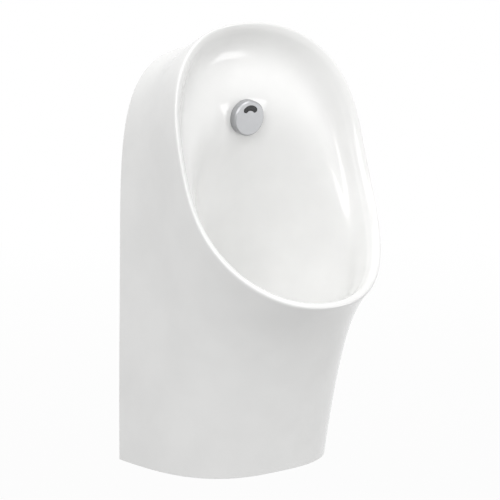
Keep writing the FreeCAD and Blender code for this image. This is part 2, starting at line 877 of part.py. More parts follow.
def make_lower_angles():
    pad_edge = value("clamp_depth + clamp_pad_radius")
    touch = skin_side(pad_edge, value("angle_height")) - value("china_wall + seat_gap")
    screws = []
    pads = []
    for word, side in SIDES.items():
        name = f"angle_{word}"
        inner = "angle_offset - angle_flange"
        outer = "angle_offset"
        edges = [(inner, outer), (f"-({outer})", f"-({inner})")][side < 0]
        arm = [("angle_offset - angle_plate", outer), (f"-({outer})", "angle_plate - angle_offset")]
        arm_edges = arm[side < 0]
        low = "angle_height - angle_tall / 2"
        high = "angle_height + angle_tall / 2"
        plate = block(name + "_plate", *edges, "0", "angle_plate", low, high)
        reach = block(name + "_arm", *arm_edges, "0", "angle_reach", low, high)
        hole = place(rod(name + "_hole", "angle_hole_radius", "3 * angle_plate"),
                     f"{side} * (angle_offset - angle_plate / 2 - angle_flange / 2)",
                     "-angle_plate", "angle_height", FORWARD)
        way = RIGHT if side > 0 else LEFT
        thread = place(rod(name + "_thread", "clamp_screw_radius + running_gap",
                           "3 * angle_plate"),
                       f"{side} * (angle_offset - 2 * angle_plate)", "clamp_depth",
                       "angle_height", way)
        node(cut(name, fuse(name + "_steel", plate, reach), hole, thread),
             f"lower_angle_{word}")
        start = f"{side} * (angle_offset - clamp_start)"
        length = f"{touch:.3f} - clamp_pad_thickness - angle_offset + clamp_start"
        screws.append(place(rod(f"clamp_screw_{word}", "clamp_screw_radius", length),
                            start, "clamp_depth", "angle_height", way))
        pads.append(place(rod(f"clamp_pad_{word}", "clamp_pad_radius", "clamp_pad_thickness"),
                          f"{side} * ({touch:.3f} - clamp_pad_thickness)", "clamp_depth",
                          "angle_height", way))
    node(group("clamp_screws_pair", *screws), "clamp_screws")
    node(group("clamp_pads_pair", *pads), "clamp_pads")


# ---------------------------------------------------------------------------
# Spray head, in its own frame: Z out of the bowl, Y up.
def window_band(name, gap, low, thickness):
    """Curved window: a band along an arc with round ends."""
    half = f"(window_band / 2 + {gap})"
    sector = rod(name + "_sector", f"window_arc_radius + {half}", thickness)
    sector.setExpression("Angle", bound("2 * window_half_angle"))
    inner = rod(name + "_inner", f"window_arc_radius - {half}", thickness)
    rise = value("window_arc_rise")
    spread = value("window_half_angle")
    on_head(sector, 0, rise, low, Rotation(Vector(0, 0, 1), 90 - spread))
    on_head(inner, 0, rise, low)
    ends = []
    for word, side in SIDES.items():
        end = rod(f"{name}_end_{word}", half, thickness)
        x = side * value("window_arc_radius") * math.sin(math.radians(spread))
        up = rise + value("window_arc_radius") * math.cos(math.radians(spread))
        ends.append(on_head(end, x, up, low))
    return fuse(name, cut(name + "_band", sector, inner), *ends)


def make_spray_head():
    gasket = value("gasket_thickness")
    flange_top = "gasket_thickness + head_flange_thickness"
    flange_radius = "cap_radius - cap_wall - seat_gap"
    bore = "stem_radius + seat_gap"
    node(on_head(lathe("gasket", tube_outline(bore, flange_radius, "0", "gasket_thickness"))),
         "spray_gasket")
    turned = on_head(lathe("head", [
        ("stem_bore_radius", "-stem_reach"), ("stem_radius", "-stem_reach"),
        ("stem_radius", "gasket_thickness"), (flange_radius, "gasket_thickness"),
        (flange_radius, flange_top), ("0", flange_top),
        ("0", f"{flange_top} - cap_wall"), ("stem_bore_radius", f"{flange_top} - cap_wall")]))
    slot = doc.addObject("Part::Box", "head_slot")
    slot.setExpression("Length", bound("head_slot_width"))
    slot.setExpression("Width", bound("2 * cap_radius"))
    slot.setExpression("Height", bound("head_flange_thickness - 2 * cap_wall / 1.25 + 1"))
    on_head(slot, -value("head_slot_width") / 2, -2 * value("cap_radius"), gasket + 0.5)
    channel = on_head(rod("head_lead_channel", "lead_radius + 0.2", "2 * stem_reach"),
                      up=value("lead_offset"), out=-1.5 * value("stem_reach"))
    node(cut("head_cut", turned, slot, channel), "spray_head_body")

    under = "cap_height - cap_wall"
    skin = on_head(lathe("cap", [
        ("0", under), ("cap_radius - cap_wall", under), ("cap_radius - cap_wall", "seat_gap"),
        ("cap_radius", "seat_gap"), ("cap_radius", "cap_height - cap_chamfer"),
        ("cap_radius - cap_chamfer", "cap_height"), ("0", "cap_height")]))
    mouth = doc.addObject("Part::Box", "cap_mouth")
    mouth.setExpression("Length", bound("head_slot_width"))
    mouth.setExpression("Width", bound("cap_radius"))
    mouth.setExpression("Height", bound("gasket_thickness + cap_wall"))
    on_head(mouth, -value("head_slot_width") / 2, -value("cap_radius") - value("cap_wall") * 4)
    hole = window_band("cap_window_hole", "window_gap", value(under) - 1.0, "3 * cap_wall")
    node(cut("cap_cut", skin, mouth, hole), "spray_cap")
    node(window_band("window", "0", value(under), "cap_wall"), "sensor_window")

    disc = on_head(rod("board_disc", "board_radius", "board_thickness"), out=value(flange_top))
    eyes = []
    for word, side in SIDES.items():
        eye = rod(f"board_eye_{word}", "eye_radius",
                  f"{under} - ({flange_top}) - board_thickness / 2")
        x = side * value("window_arc_radius") * 0.6
        up = value("window_arc_rise") + value("window_arc_radius") * 0.8
        eyes.append(on_head(eye, x, up, value(flange_top) + value("board_thickness") / 2))
    node(fuse("board", disc, *eyes), "sensor_board")

    seat = "2 * spray_seat_depth - china_wall"
    washer_foot = f"{seat} - washer_thickness"
    node(on_head(lathe("washer", tube_outline(bore, "spray_nut_radius + 1", washer_foot, seat))),
         "spray_washer")
    nut = pad("spray_nut_hex", "spray_nut_thickness", [hexagon("spray_nut_radius")],
              [("0", "0", "stem_radius + running_gap")])
    on_head(nut, out=value(f"{washer_foot} - spray_nut_thickness"))
    node(nut, "spray_nut")

    foot = -value("stem_reach")
    collar = on_head(rod("elbow_collar", "elbow_radius", "elbow_length"),
                     out=foot - value("elbow_length"))
    middle = foot - value("elbow_length") / 2
    port = on_head(rod("elbow_port", "pipe_radius + pipe_wall", "elbow_port_reach"),
                   out=middle, turn=LEFT)
    bore_up = on_head(rod("elbow_bore", "port_bore_radius", "elbow_length"),
                      out=foot - value("elbow_length") / 2)
    bore_side = on_head(rod("elbow_side_bore", "port_bore_radius", "2 * elbow_port_reach"),
                        out=middle, turn=LEFT)
    node(cut("elbow", fuse("elbow_cast", collar, port), bore_up, bore_side), "spray_elbow")


# ---------------------------------------------------------------------------
# Pipes and leads follow straight runs joined by tangent arcs.
def run_path(points):
    """Wire through a list of points: each turn is the largest arc its two runs allow."""
    edges = []
    last = points[0]
    for before, corner, after in zip(points, points[1:], points[2:]):
        way_in = (corner - before).normalize()
        way_out = (after - corner).normalize()
        turn = way_in.getAngle(way_out)
        setback = 0.45 * min((corner - before).Length, (after - corner).Length)
        radius = setback / math.tan(turn / 2)
        print(f"arc radius {radius:.1f}")
        start = corner - way_in * setback
        end = corner + way_out * setback
        bisector = (way_out - way_in).normalize()
        centre = corner + bisector * (radius / math.cos(turn / 2))
        middle = centre - bisector * radius
        edges.append(Part.LineSegment(last, start).toShape())
        edges.append(Part.Arc(start, middle, end).toShape())
        last = end
    edges.append(Part.LineSegment(last, points[-1]).toShape())
    return Part.Wire(edges)


def swept(points, radius):
    """Round rod along a path."""
    path = run_path(points)
    way = (points[1] - points[0]).normalize()
    circle = Part.Wire(Part.Circle(points[0], way, radius).toShape())
    return path.makePipeShell([circle], True, False)


def make_pipe(name, points):
    """Hollow pipe along a path."""
    outer = swept(points, value("pipe_radius"))
    inner = swept(points, value("pipe_radius") - value("pipe_wall"))
    node(feature(name + "_bent", outer.cut(inner)), name)


def union_nut(name, point, way):
    """Hexagonal union nut round a pipe's end, from a point along a direction."""
    nut = pad(name, "union_length", [hexagon("union_radius")],
              [("0", "0", "pipe_radius + running_gap")])
    nut.Placement = Placement(point, Rotation(Vector(0, 0, 1), way))
    return nut


def make_water_supply():
    inlet = value("inlet_height")
    socket_end = "inlet_socket_length"
    socket = lathe("socket", [
        ("inlet_thread_radius", "0"), ("inlet_socket_radius", "0"),
        ("inlet_socket_radius", socket_end), ("filter_radius", socket_end),
        ("filter_radius", f"{socket_end} - pipe_wall"),
        ("inlet_thread_radius", f"{socket_end} - pipe_wall")])
    node(place(socket, "0", "0", "inlet_height", FORWARD), "inlet_socket")

    barrel = place(rod("stop_barrel", "stop_barrel_radius", "stop_barrel_length"),
                   "0", socket_end, "inlet_height", FORWARD)
    port = place(rod("stop_port", "port_radius", "stop_port_reach"),
                 "0", "stop_port_depth", "inlet_height", LEFT)
    boss = place(rod("stop_boss", "packing_radius", "spindle_boss_reach"),
                 "0", "stop_port_depth", "inlet_height", RIGHT)
    well = place(rod("stop_well", "filter_radius + running_gap",
                     "stop_barrel_length - 2 * pipe_wall - 2"),
                 "0", socket_end, "inlet_height", FORWARD)
    port_bore = place(rod("stop_port_bore", "port_bore_radius", "2 * stop_port_reach"),
                      "0", "stop_port_depth", "inlet_height", LEFT)
    boss_bore = place(rod("stop_boss_bore", "spindle_radius + running_gap",
                          "2 * spindle_boss_reach"),
                      "0", "stop_port_depth", "inlet_height", RIGHT)
    node(cut("stop_valve", fuse("stop_cast", barrel, port, boss), well, port_bore, boss_bore),
         "stop_valve_body")
    screen = lathe("screen", tube_outline("filter_radius - filter_wall", "filter_radius", "0",
                                          "filter_length"))
    node(place(screen, "0", f"{socket_end} - pipe_wall / 2", "inlet_height", FORWARD),
         "filter_screen")

    shaft = place(rod("spindle_shaft", "spindle_radius", "spindle_length"),
                  "spindle_inner", "stop_port_depth", "inlet_height", RIGHT)
    end = "spindle_inner + spindle_length"
    slot = block("spindle_slot", f"{end} - spindle_radius", f"{end} + 1",
                 "stop_port_depth - 2 * spindle_radius", "stop_port_depth + 2 * spindle_radius",
                 "inlet_height - spindle_slot / 2", "inlet_height + spindle_slot / 2")
    node(cut("spindle", shaft, slot), "stop_spindle")
    packing = pad("packing", "packing_length", [hexagon("packing_radius")],
                  [("0", "0", "spindle_radius + running_gap")])
    node(place(packing, "spindle_boss_reach", "stop_port_depth", "inlet_height", RIGHT),
         "packing_nut")

    depth = value("valve_depth")
    valve_x = -value("valve_offset")
    port_top = value("valve_height + valve_tall / 2 + valve_port_reach")
    supply = [at(-value("stop_port_reach"), value("stop_port_depth"), inlet),
              at(-value("stop_port_reach + pipe_run"), value("stop_port_depth"), inlet),
              at(valve_x, depth, inlet - value("pipe_run")),
              at(valve_x, depth, port_top)]
    make_pipe("supply_pipe", supply)

    port_side = -value("valve_offset - valve_width / 2 - valve_port_reach")
    middle = -value("stem_reach + elbow_length / 2")
    elbow_port = HEAD.multVec(Vector(-value("elbow_port_reach"), 0, middle))
    elbow_depth = -elbow_port.y
    elbow_height = elbow_port.z + value("hanger_height")
    rise_x = (port_side - value("elbow_port_reach")) / 2
    valve_height = value("valve_height")
    spray = [at(port_side, depth, valve_height), at(rise_x, depth, valve_height),
             at(rise_x, elbow_depth, elbow_height), elbow_port]
    make_pipe("spray_pipe", spray)
    ends = [("supply_first", supply[0], supply[1]), ("supply_last", supply[3], supply[2]),
            ("spray_first", spray[0], spray[1]), ("spray_last", spray[3], spray[2])]
    nuts = []
    for word, start, towards in ends:
        nuts.append(union_nut(f"union_{word}", start, (towards - start).normalize()))
    node(group("unions", *nuts), "union_nuts")


# ---------------------------------------------------------------------------
# Flush valve: body, diaphragm, bonnet with its tube, coil, plunger and spring.
def make_flush_valve():
    valve_x = "-valve_offset"
    low = "valve_height - valve_tall / 2"
    high = "valve_height + valve_tall / 2"
    left = "-valve_offset - valve_width / 2"
    right = "valve_width / 2 - valve_offset"
    casting = block("valve_casting", left, right, "valve_depth - valve_thickness / 2",
                    "valve_depth + valve_thickness / 2", low, high)
    top_port = place(rod("valve_top_port", "port_radius", "valve_port_reach + 1"),
                     valve_x, "valve_depth", f"{high} - 1", UP)
    side_port = place(rod("valve_side_port", "port_radius", "valve_port_reach + 1"),
                      f"{right} - 1", "valve_depth", "valve_height", RIGHT)
    top_bore = place(rod("valve_top_bore", "port_bore_radius", "2 * valve_tall"),
                     valve_x, "valve_depth", low, UP)
    side_bore = place(rod("valve_side_bore", "port_bore_radius", "2 * valve_width"),
                      valve_x, "valve_depth", "valve_height", RIGHT)
    chamber = place(rod("valve_chamber", "valve_chamber_radius", "valve_chamber_depth"),
                    valve_x, "valve_depth", low, UP)
    body = fuse("valve_cast", casting, top_port, side_port)
    node(cut("valve", body, top_bore, side_bore, chamber), "flush_valve_body")
    disc = lathe("diaphragm_disc", [("0", "0"), ("diaphragm_radius", "0"),
                                    ("diaphragm_radius", "diaphragm_thickness"),
                                    ("0", "diaphragm_thickness")])
    node(place(disc, valve_x, "valve_depth", f"{low} - diaphragm_thickness"), "diaphragm")

    top = f"{low} - diaphragm_thickness"
    bore = "plunger_radius + running_gap"
    tube = f"({bore} + bonnet_tube_wall)"
    tube_foot = "-(bonnet_thickness + coil_length + bonnet_end)"
    bonnet = lathe("bonnet_turned", [
        (bore, "0"), ("diaphragm_radius + 1", "0"), ("diaphragm_radius + 1", "-bonnet_thickness"),
        (tube, "-bonnet_thickness"), (tube, tube_foot), ("0", tube_foot),
        ("0", f"{tube_foot} + bonnet_end"), (bore, f"{tube_foot} + bonnet_end")])
    node(place(bonnet, valve_x, "valve_depth", top), "valve_bonnet")
    coil = lathe("coil_turned", tube_outline(f"{tube} + running_gap", "coil_radius",
                                             "-(bonnet_thickness + coil_length)",
                                             "-bonnet_thickness"))
    node(place(coil, valve_x, "valve_depth", top), "valve_coil")
    plunger = rod("plunger_rod", "plunger_radius", "plunger_length")
    node(place(plunger, valve_x, "valve_depth", f"{top} - plunger_rest_gap - plunger_length"),
         "valve_plunger")

    length = value("spring_length")
    radius = value("spring_radius")
    helix = Part.makeHelix(length / value("spring_turns"), length, radius)
    wire_circle = Part.Wire(Part.Circle(Vector(radius, 0, 0), Vector(0, 1, 0),
                                        value("spring_wire_radius")).toShape())
    coil_spring = Part.Wire(helix).makePipeShell([wire_circle], True, True)
    spring = feature("spring", coil_spring)
    place(spring, valve_x, "valve_depth",
          f"{top} + ({tube_foot}) + bonnet_end + spring_wire_radius")
    node(spring, "plunger_spring")

    plate = block("valve_plate", left, right, "0", "valve_bracket_plate", low, high)
    arm = block("valve_arm", "-valve_offset - valve_width / 5", "valve_width / 5 - valve_offset",
                "0", "valve_depth - valve_thickness / 2", "valve_height - valve_tall / 4",
                "valve_height + valve_tall / 4")
    node(fuse("valve_stand", plate, arm), "valve_bracket")


# ---------------------------------------------------------------------------
# Control box with the battery drawer that slides out downwards.
def make_control():
    left = "-box_left"
    right = "box_width - box_left"
    low = "box_foot_height"
    high = "box_foot_height + box_tall"
    bay_left = f"{left} + box_wall"
    bay_right = f"{bay_left} + bay_width"
    board_left = f"{bay_right} + box_wall"
    board_right = f"{right} - box_wall"
    casing = block("box_casing", left, right, "0", "box_depth", low, high)
    battery_bay = block("box_battery_bay", bay_left, bay_right, "box_wall",
                        "box_depth - box_wall", f"{low} - 1", f"{high} - box_wall")
    board_bay = block("box_board_bay", board_left, board_right, "box_wall", "box_depth + 1",
                      f"{low} + box_wall", f"{high} - box_wall")
    inset = "boss_radius - 0.5"
    corners = [(f"{board_left} + {inset}", f"{low} + box_wall + {inset}"),
               (f"{board_right} - ({inset})", f"{low} + box_wall + {inset}"),
               (f"{board_left} + {inset}", f"{high} - box_wall - ({inset})"),
               (f"{board_right} - ({inset})", f"{high} - box_wall - ({inset})")]
    bosses = []
    holes = []
    screws = []
    lid_holes = []
    for index, (x, height) in enumerate(corners):
        bosses.append(place(rod(f"box_boss_{index}", "boss_radius", "box_depth - 1"),
                            x, "1", height, FORWARD))
        holes.append(place(rod(f"box_screw_hole_{index}", "lid_screw_radius",
                               "2 * lid_screw_length"),
                           x, "box_depth + lid_thickness - lid_screw_length", height, FORWARD))
        shank = place(rod(f"lid_shank_{index}", "lid_screw_radius", "lid_screw_length"),
                      x, "box_depth + lid_thickness - lid_screw_length", height, FORWARD)
        head = place(rod(f"lid_head_{index}", "lid_screw_head", "lid_screw_radius"),
                     x, "box_depth + lid_thickness", height, FORWARD)
        screws.append(fuse(f"lid_screw_{index}", shank, head))
        lid_holes.append(place(rod(f"lid_hole_{index}", "lid_screw_radius + 0.2",
                                   "4 * lid_thickness"),
                               x, "box_depth - lid_thickness", height, FORWARD))
    hollow = cut("box_hollow", casing, battery_bay, board_bay)
    node(cut("box", fuse("box_bossed", hollow, *bosses), *holes), "control_box")
    lid = block("lid_plate", left, right, "box_depth", "box_depth + lid_thickness", low, high)
    node(cut("lid", lid, *lid_holes), "control_lid")
    node(group("lid_screw_set", *screws), "lid_screws")

    board_low = f"{low} + control_board_inset"
    board_high = f"{high} - control_board_inset"
    board = block("pcb_plate", f"{board_left} + 1", f"{board_right} - 1", "box_wall",
                  "box_wall + board_thickness", board_low, board_high)
    relay = block("pcb_relay", f"{board_left} + 4", f"{board_left} + 16", "box_wall",
                  "box_wall + 12", f"{board_low} + 6", f"{board_low} + 22")
    chip = block("pcb_chip", f"{board_left} + 5", f"{board_left} + 15", "box_wall",
                 "box_wall + 4", f"{board_low} + 34", f"{board_low} + 44")
    capacitor = place(rod("pcb_capacitor", "4", "16"), f"{board_right} - 7", "box_wall",
                      f"{board_high} - 12", FORWARD)
    node(fuse("pcb", board, relay, chip, capacitor), "control_board")

    tray_left = f"{bay_left} + tray_gap"
    tray_right = f"{bay_right} - tray_gap"
    tray_back = "box_wall + tray_gap"
    tray_front = "box_depth - box_wall - tray_gap"
    tray = block("tray_block", tray_left, tray_right, tray_back, tray_front, low,
                 f"{low} + battery_length + 2 * tray_base")
    base = block("tray_base_plate", left, f"{bay_right} + box_wall", "box_wall", "box_depth",
                 f"{low} - tray_base", low)
    wells = []
    cells = []
    pitch = "(battery_radius + battery_gap + 0.6)"
    centre_x = f"(({tray_left}) + ({tray_right})) / 2"
    centre_depth = f"(({tray_back}) + ({tray_front})) / 2"
    for index, (across, out) in enumerate([(-1, -1), (1, -1), (-1, 1), (1, 1)]):
        x = f"{centre_x} + {across} * {pitch}"
        depth = f"{centre_depth} + {out} * {pitch}"
        wells.append(place(rod(f"tray_well_{index}", "battery_radius + battery_gap",
                               "2 * battery_length"), x, depth, low))
        cells.append(place(rod(f"cell_{index}", "battery_radius", "battery_length"),
                           x, depth, low))
    node(cut("tray", fuse("tray_solid", tray, base), *wells), "battery_tray")
    node(group("cell_set", *cells), "battery_cells")


# ---------------------------------------------------------------------------
# Waste: flange and strainer in the bowl, bottle trap and outlet below it.
def make_waste():
    seat = "seat_height"
    flange_low = f"{seat} + flange_seal"
    flange_high = f"{flange_low} + flange_thickness"
    tail_bore = "tail_radius - tail_wall"
    ledge = f"{flange_high} - strainer_thickness - strainer_skirt"
    ledge_reach = "strainer_skirt_wall + strainer_gap"
    ring = lathe("seal_ring", tube_outline("drain_radius", "seat_radius - seat_gap", seat,
                                           flange_low))
    node(place(ring, "0", "drain_depth", "0"), "flange_seal")
    flange = lathe("flange_turned", [
        (tail_bore, "tail_foot_height"), ("tail_radius", "tail_foot_height"),
        ("tail_radius", flange_low), ("seat_radius - seat_gap", flange_low),
        ("seat_radius - seat_gap", f"{flange_high} - flange_thickness / 2"),
        ("seat_radius - seat_gap - flange_thickness / 2", flange_high),
        (tail_bore, flange_high), (tail_bore, ledge),
        (f"{tail_bore} - ({ledge_reach})", ledge),
        (f"{tail_bore} - ({ledge_reach})", f"{ledge} - 1"), (tail_bore, f"{ledge} - 3")])
    node(place(flange, "0", "drain_depth", "0"), "drain_flange")
    make_strainer(flange_high)

    nut = pad("drain_nut_hex", "drain_nut_thickness", [hexagon("drain_nut_radius")],
              [("0", "0", "tail_radius + running_gap")])
    node(place(nut, "0", "drain_depth", "horn_foot_height - drain_nut_thickness"), "drain_nut")

    inside = "trap_radius - trap_wall"
    shell = lathe("trap_turned", [
        (inside, "trap_foot_height"), ("trap_radius", "trap_foot_height"),
        ("trap_radius", "trap_top_height"), ("tail_radius + running_gap", "trap_top_height"),
        ("tail_radius + running_gap", "trap_top_height - trap_wall"),
        (inside, "trap_top_height - trap_wall")])
    place(shell, "0", "drain_depth", "0")
    stub_radius = "outlet_radius + outlet_stub_wall"
    stub_end = "drain_depth - outlet_stub_reach"
    stub = place(rod("trap_stub", stub_radius, "outlet_stub_reach"), "0", stub_end,
                 "outlet_height", FORWARD)
    core = place(rod("trap_core", inside, "trap_top_height - trap_foot_height - trap_wall"),
                 "0", "drain_depth", "trap_foot_height")
    neck = place(rod("trap_neck", "tail_radius + running_gap", "2 * trap_tall"), "0",
                 "drain_depth", "trap_foot_height")
    stub_bore = place(rod("trap_stub_bore", "outlet_radius - outlet_wall - outlet_shoulder",
                          "outlet_stub_reach"),
                      "0", stub_end, "outlet_height", FORWARD)
    plug = place(rod("trap_plug", "outlet_radius + running_gap", "outlet_plug"), "0", stub_end,
                 "outlet_height", FORWARD)
    node(cut("trap", fuse("trap_cast", shell, stub), core, neck, stub_bore, plug), "trap_body")
    cap = pad("trap_nut_hex", "drain_nut_thickness", [hexagon("drain_nut_radius - 2")],
              [("0", "0", "tail_radius + running_gap")])
    node(place(cap, "0", "drain_depth", "trap_top_height"), "trap_nut")

    seal_low = "trap_foot_height - cup_seal"
    node(place(lathe("cup_seal_ring", tube_outline(inside, "trap_radius", seal_low,
                                                   "trap_foot_height")),
               "0", "drain_depth", "0"), "cup_seal")
    cup = lathe("cup_turned", [
        ("0", "cup_foot_height"), ("cup_radius - 4", "cup_foot_height"),
        ("cup_radius", "cup_foot_height + 4"), ("cup_radius", "cup_rim_height"),
        ("trap_radius + 0.3", "cup_rim_height"), ("trap_radius + 0.3", seal_low),
        (inside, seal_low), (inside, "cup_foot_height + trap_wall"),
        ("0", "cup_foot_height + trap_wall")])
    node(place(cup, "0", "drain_depth", "0"), "trap_cup")

    pipe = lathe("outlet_turned", tube_outline("outlet_radius - outlet_wall", "outlet_radius", "0",
                                               f"{stub_end} + outlet_plug"))
    node(place(pipe, "0", "0", "outlet_height", FORWARD), "outlet_pipe")
    collar = pad("outlet_nut_hex", "outlet_nut_length", [hexagon("outlet_nut_radius")],
                 [("0", "0", "outlet_radius + running_gap")])
    node(place(collar, "0", f"{stub_end} - outlet_nut_length", "outlet_height", FORWARD),
         "outlet_nut")
    rosette = lathe("rosette", [
        ("outlet_radius + running_gap", "0"), ("wall_seal_radius", "0"),
        ("wall_seal_radius - wall_seal_thickness / 2", "wall_seal_thickness"),
        ("outlet_radius + running_gap", "wall_seal_thickness")])
    node(place(rosette, "0", "0", "outlet_height", FORWARD), "wall_seal")


def make_strainer(top):
    """Lift-out strainer: disc, skirt and knob, with two rings of holes."""
    radius = "tail_radius - tail_wall - strainer_gap"
    foot = f"{top} - strainer_thickness - strainer_skirt"
    body = lathe("strainer_disc", [
        ("0", f"{top} - strainer_thickness"), (f"{radius} - strainer_skirt_wall",
                                               f"{top} - strainer_thickness"),
        (f"{radius} - strainer_skirt_wall", foot), (radius, foot), (radius, top),
        ("strainer_knob_radius", top), ("strainer_knob_radius", f"{top} + strainer_knob_rise - 1"),
        ("strainer_knob_radius - 1", f"{top} + strainer_knob_rise"),
        ("0", f"{top} + strainer_knob_rise")])
    doc.recompute()
    for word, share, count in (("inner", 0.42, 6), ("outer", 0.74, 12)):
        sketch = sketch_on(body, f"strainer_{word}_hole", "XY_Plane")
        draw_circle(sketch, f"({radius}) * {share}", "0", "strainer_hole_radius")
        pocket = body.newObject("PartDesign::Pocket", f"strainer_{word}_pocket")
        pocket.Profile = sketch
        pocket.Type = "ThroughAll"
        pocket.Midplane = True
        pattern = body.newObject("PartDesign::PolarPattern", f"strainer_{word}_ring")
        pattern.Originals = [pocket]
        pattern.Axis = (sketch, ["N_Axis"])
        pattern.Angle = 360
        pattern.Occurrences = count
        body.Tip = pattern
        doc.recompute()
    node(place(body, "0", "drain_depth", "0"), "drain_strainer")


# ---------------------------------------------------------------------------
# Leads: each runs from its plug to the top of the control box.
def make_leads():
    radius = value("lead_radius")
    box_top = value("box_foot_height + box_tall")
    start = HEAD.multVec(Vector(0, value("lead_offset"), -value("stem_reach")))
    back = HEAD.multVec(Vector(0, value("lead_offset"), -value("stem_reach") - 22.0))
    end_x = -value("box_left") + value("box_width") - 10.0
    fall = start.z + value("hanger_height") - box_top
    places = [(12.0, 24.0, 0.90), (14.0, 16.0, 0.69), (2.0, 14.0, 0.50), (-20.0, 15.0, 0.32),
              (-46.0, 18.0, 0.18), (end_x, 20.0, 0.08), (end_x, 20.0, 0.0)]
    sensor = [start, back] + [at(x, out, box_top + share * fall) for x, out, share in places]
    node(feature("sensor_lead_run", swept(sensor, radius)), "sensor_lead")
    coil_x = -value("valve_offset")
    coil_height = value("valve_height - valve_tall / 2 - bonnet_thickness - coil_length / 2")
    depth = value("valve_depth - coil_radius - lead_radius / 2")
    fall = coil_height - box_top
    places = [(coil_x, depth, 1.0), (coil_x, depth - 12.0, 0.97), (coil_x + 3.0, 10.0, 0.79),
              (coil_x + 8.0, 9.0, 0.51), (coil_x + 12.0, 14.0, 0.25), (end_x - 12.0, 20.0, 0.10),
              (end_x - 12.0, 20.0, 0.0)]
    valve = [at(x, out, box_top + share * fall) for x, out, share in places]
    node(feature("valve_lead_run", swept(valve, radius)), "valve_lead")


make_china()
make_brackets()
make_lower_angles()
make_spray_head()
make_water_supply()
make_flush_valve()
make_control()
make_waste()
make_leads()
doc.recompute()

for item in doc.Objects:
    if "Invalid" in item.State or "Error" in item.State:
        raise RuntimeError(f"{item.Name} failed: {item.State}")
for name, part in nodes.items():
    shape = part.Shape
    if shape.isNull() or not shape.isValid() or not shape.Solids:
        raise RuntimeError(f"{name} has no valid solid")

os.makedirs("parts", exist_ok=True)
for name, part in nodes.items():
    part.Shape.exportStep(os.path.join("parts", f"{name}.step"))
print(len(nodes), "pieces written")
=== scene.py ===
# %% [markdown]
# # A wall hung urinal, dressed
# The object is one big casting of white vitreous china that hangs on two hooks, with a small
# grey spray head in its bowl and, hidden behind it, a flush valve, a battery box and a trap.
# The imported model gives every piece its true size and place.  This script adds the looks:
# a finely curved skin for the china, and a finish for each material that a plumber would name.

# %% Load the frame
import json
import math
import bpy
import numpy as np
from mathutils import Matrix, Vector

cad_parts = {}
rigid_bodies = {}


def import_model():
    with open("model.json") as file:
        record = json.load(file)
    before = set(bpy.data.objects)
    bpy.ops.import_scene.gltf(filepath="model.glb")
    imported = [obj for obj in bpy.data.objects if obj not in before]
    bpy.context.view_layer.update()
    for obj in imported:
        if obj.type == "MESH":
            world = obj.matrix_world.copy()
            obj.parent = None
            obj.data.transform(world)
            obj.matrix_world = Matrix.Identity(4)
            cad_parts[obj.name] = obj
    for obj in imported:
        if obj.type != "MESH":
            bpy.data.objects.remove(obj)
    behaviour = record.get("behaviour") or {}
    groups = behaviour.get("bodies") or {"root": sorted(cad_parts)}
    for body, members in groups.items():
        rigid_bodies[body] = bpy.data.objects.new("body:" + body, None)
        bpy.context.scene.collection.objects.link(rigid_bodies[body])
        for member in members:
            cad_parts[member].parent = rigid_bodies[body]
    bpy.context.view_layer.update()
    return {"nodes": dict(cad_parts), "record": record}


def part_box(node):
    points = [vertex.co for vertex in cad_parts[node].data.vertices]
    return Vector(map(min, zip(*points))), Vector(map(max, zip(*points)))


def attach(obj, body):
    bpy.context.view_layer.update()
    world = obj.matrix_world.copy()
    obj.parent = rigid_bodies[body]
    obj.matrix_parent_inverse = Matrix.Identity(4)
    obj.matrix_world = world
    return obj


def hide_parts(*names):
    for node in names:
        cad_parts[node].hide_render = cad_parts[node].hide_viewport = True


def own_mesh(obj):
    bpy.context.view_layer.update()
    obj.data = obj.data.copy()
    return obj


for spare in list(bpy.data.objects):
    bpy.data.objects.remove(spare)
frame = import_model()

# %% [markdown]
# ## Where things are
# A plumber measures this object from the wall and from its bottom edge, so the shape functions
# below think in x (to the right), depth (out from the wall) and height (above the bottom edge),
# in millimetres.  The frame has its origin between the two hanger bolts, 530 mm up, with +Y into
# the wall.  The shapes could be written straight in frame metres, but then no number would match
# a rule held against the object, so one small function turns the first kind of place into the
# second.

# %% Sizes of the china
MM = 0.001
HANGER_HEIGHT = 530.0
TOP, ARCH = 650.0, 608.0
RIM_HALF, WAIST_HALF, FOOT_HALF = 162.5, 141.7, 163.5
LIP_DEPTH, LIP_HEIGHT, CROWN_DEPTH, FOOT_DEPTH = 318.5, 267.0, 112.5, 172.0
RIM_SIDE_DEPTHS = (LIP_DEPTH, 154.0, 191.0, CROWN_DEPTH)
WALL, LIP_WIDTH, OUTER_ROUND, INNER_ROUND = 12.0, 13.0, 5.0, 7.0
DRAIN_DEPTH, DRAIN_HEIGHT, DRAIN_RADIUS = 138.0, 165.0, 25.0
SEAT_RADIUS, SEAT_DROP, HORN_LENGTH = 31.0, 5.0, 25.0
SPRAY_HEIGHT, SPRAY_SUNK, SPRAY_HOLE, CAP_RADIUS = 512.0, 0.8, 17.0, 26.0
print("china:", 2 * RIM_HALF, "wide,", LIP_DEPTH, "deep and", TOP, "mm high")


# %% Change of frame
def at(x, depth, height):
    """Places in the frame, in metres, from x, depth and height in millimetres."""
    parts = np.broadcast_arrays(x, -np.asarray(depth, float), np.asarray(height, float) - HANGER_HEIGHT)
    return np.stack(parts, -1) * MM


print("bottom edge at z =", at(0, 0, 0)[2])

# %% [markdown]
# ## Curves as weighted poles
# China is modelled in plaster by hand, so its lines are fair curves with no straight stretch.
# They could be drawn with Blender's curve objects, but a surface needs their points as arrays.
# A Bezier or a B-spline is nothing but a weighted sum of a few poles, so one array of weights
# gives any number of points at once.


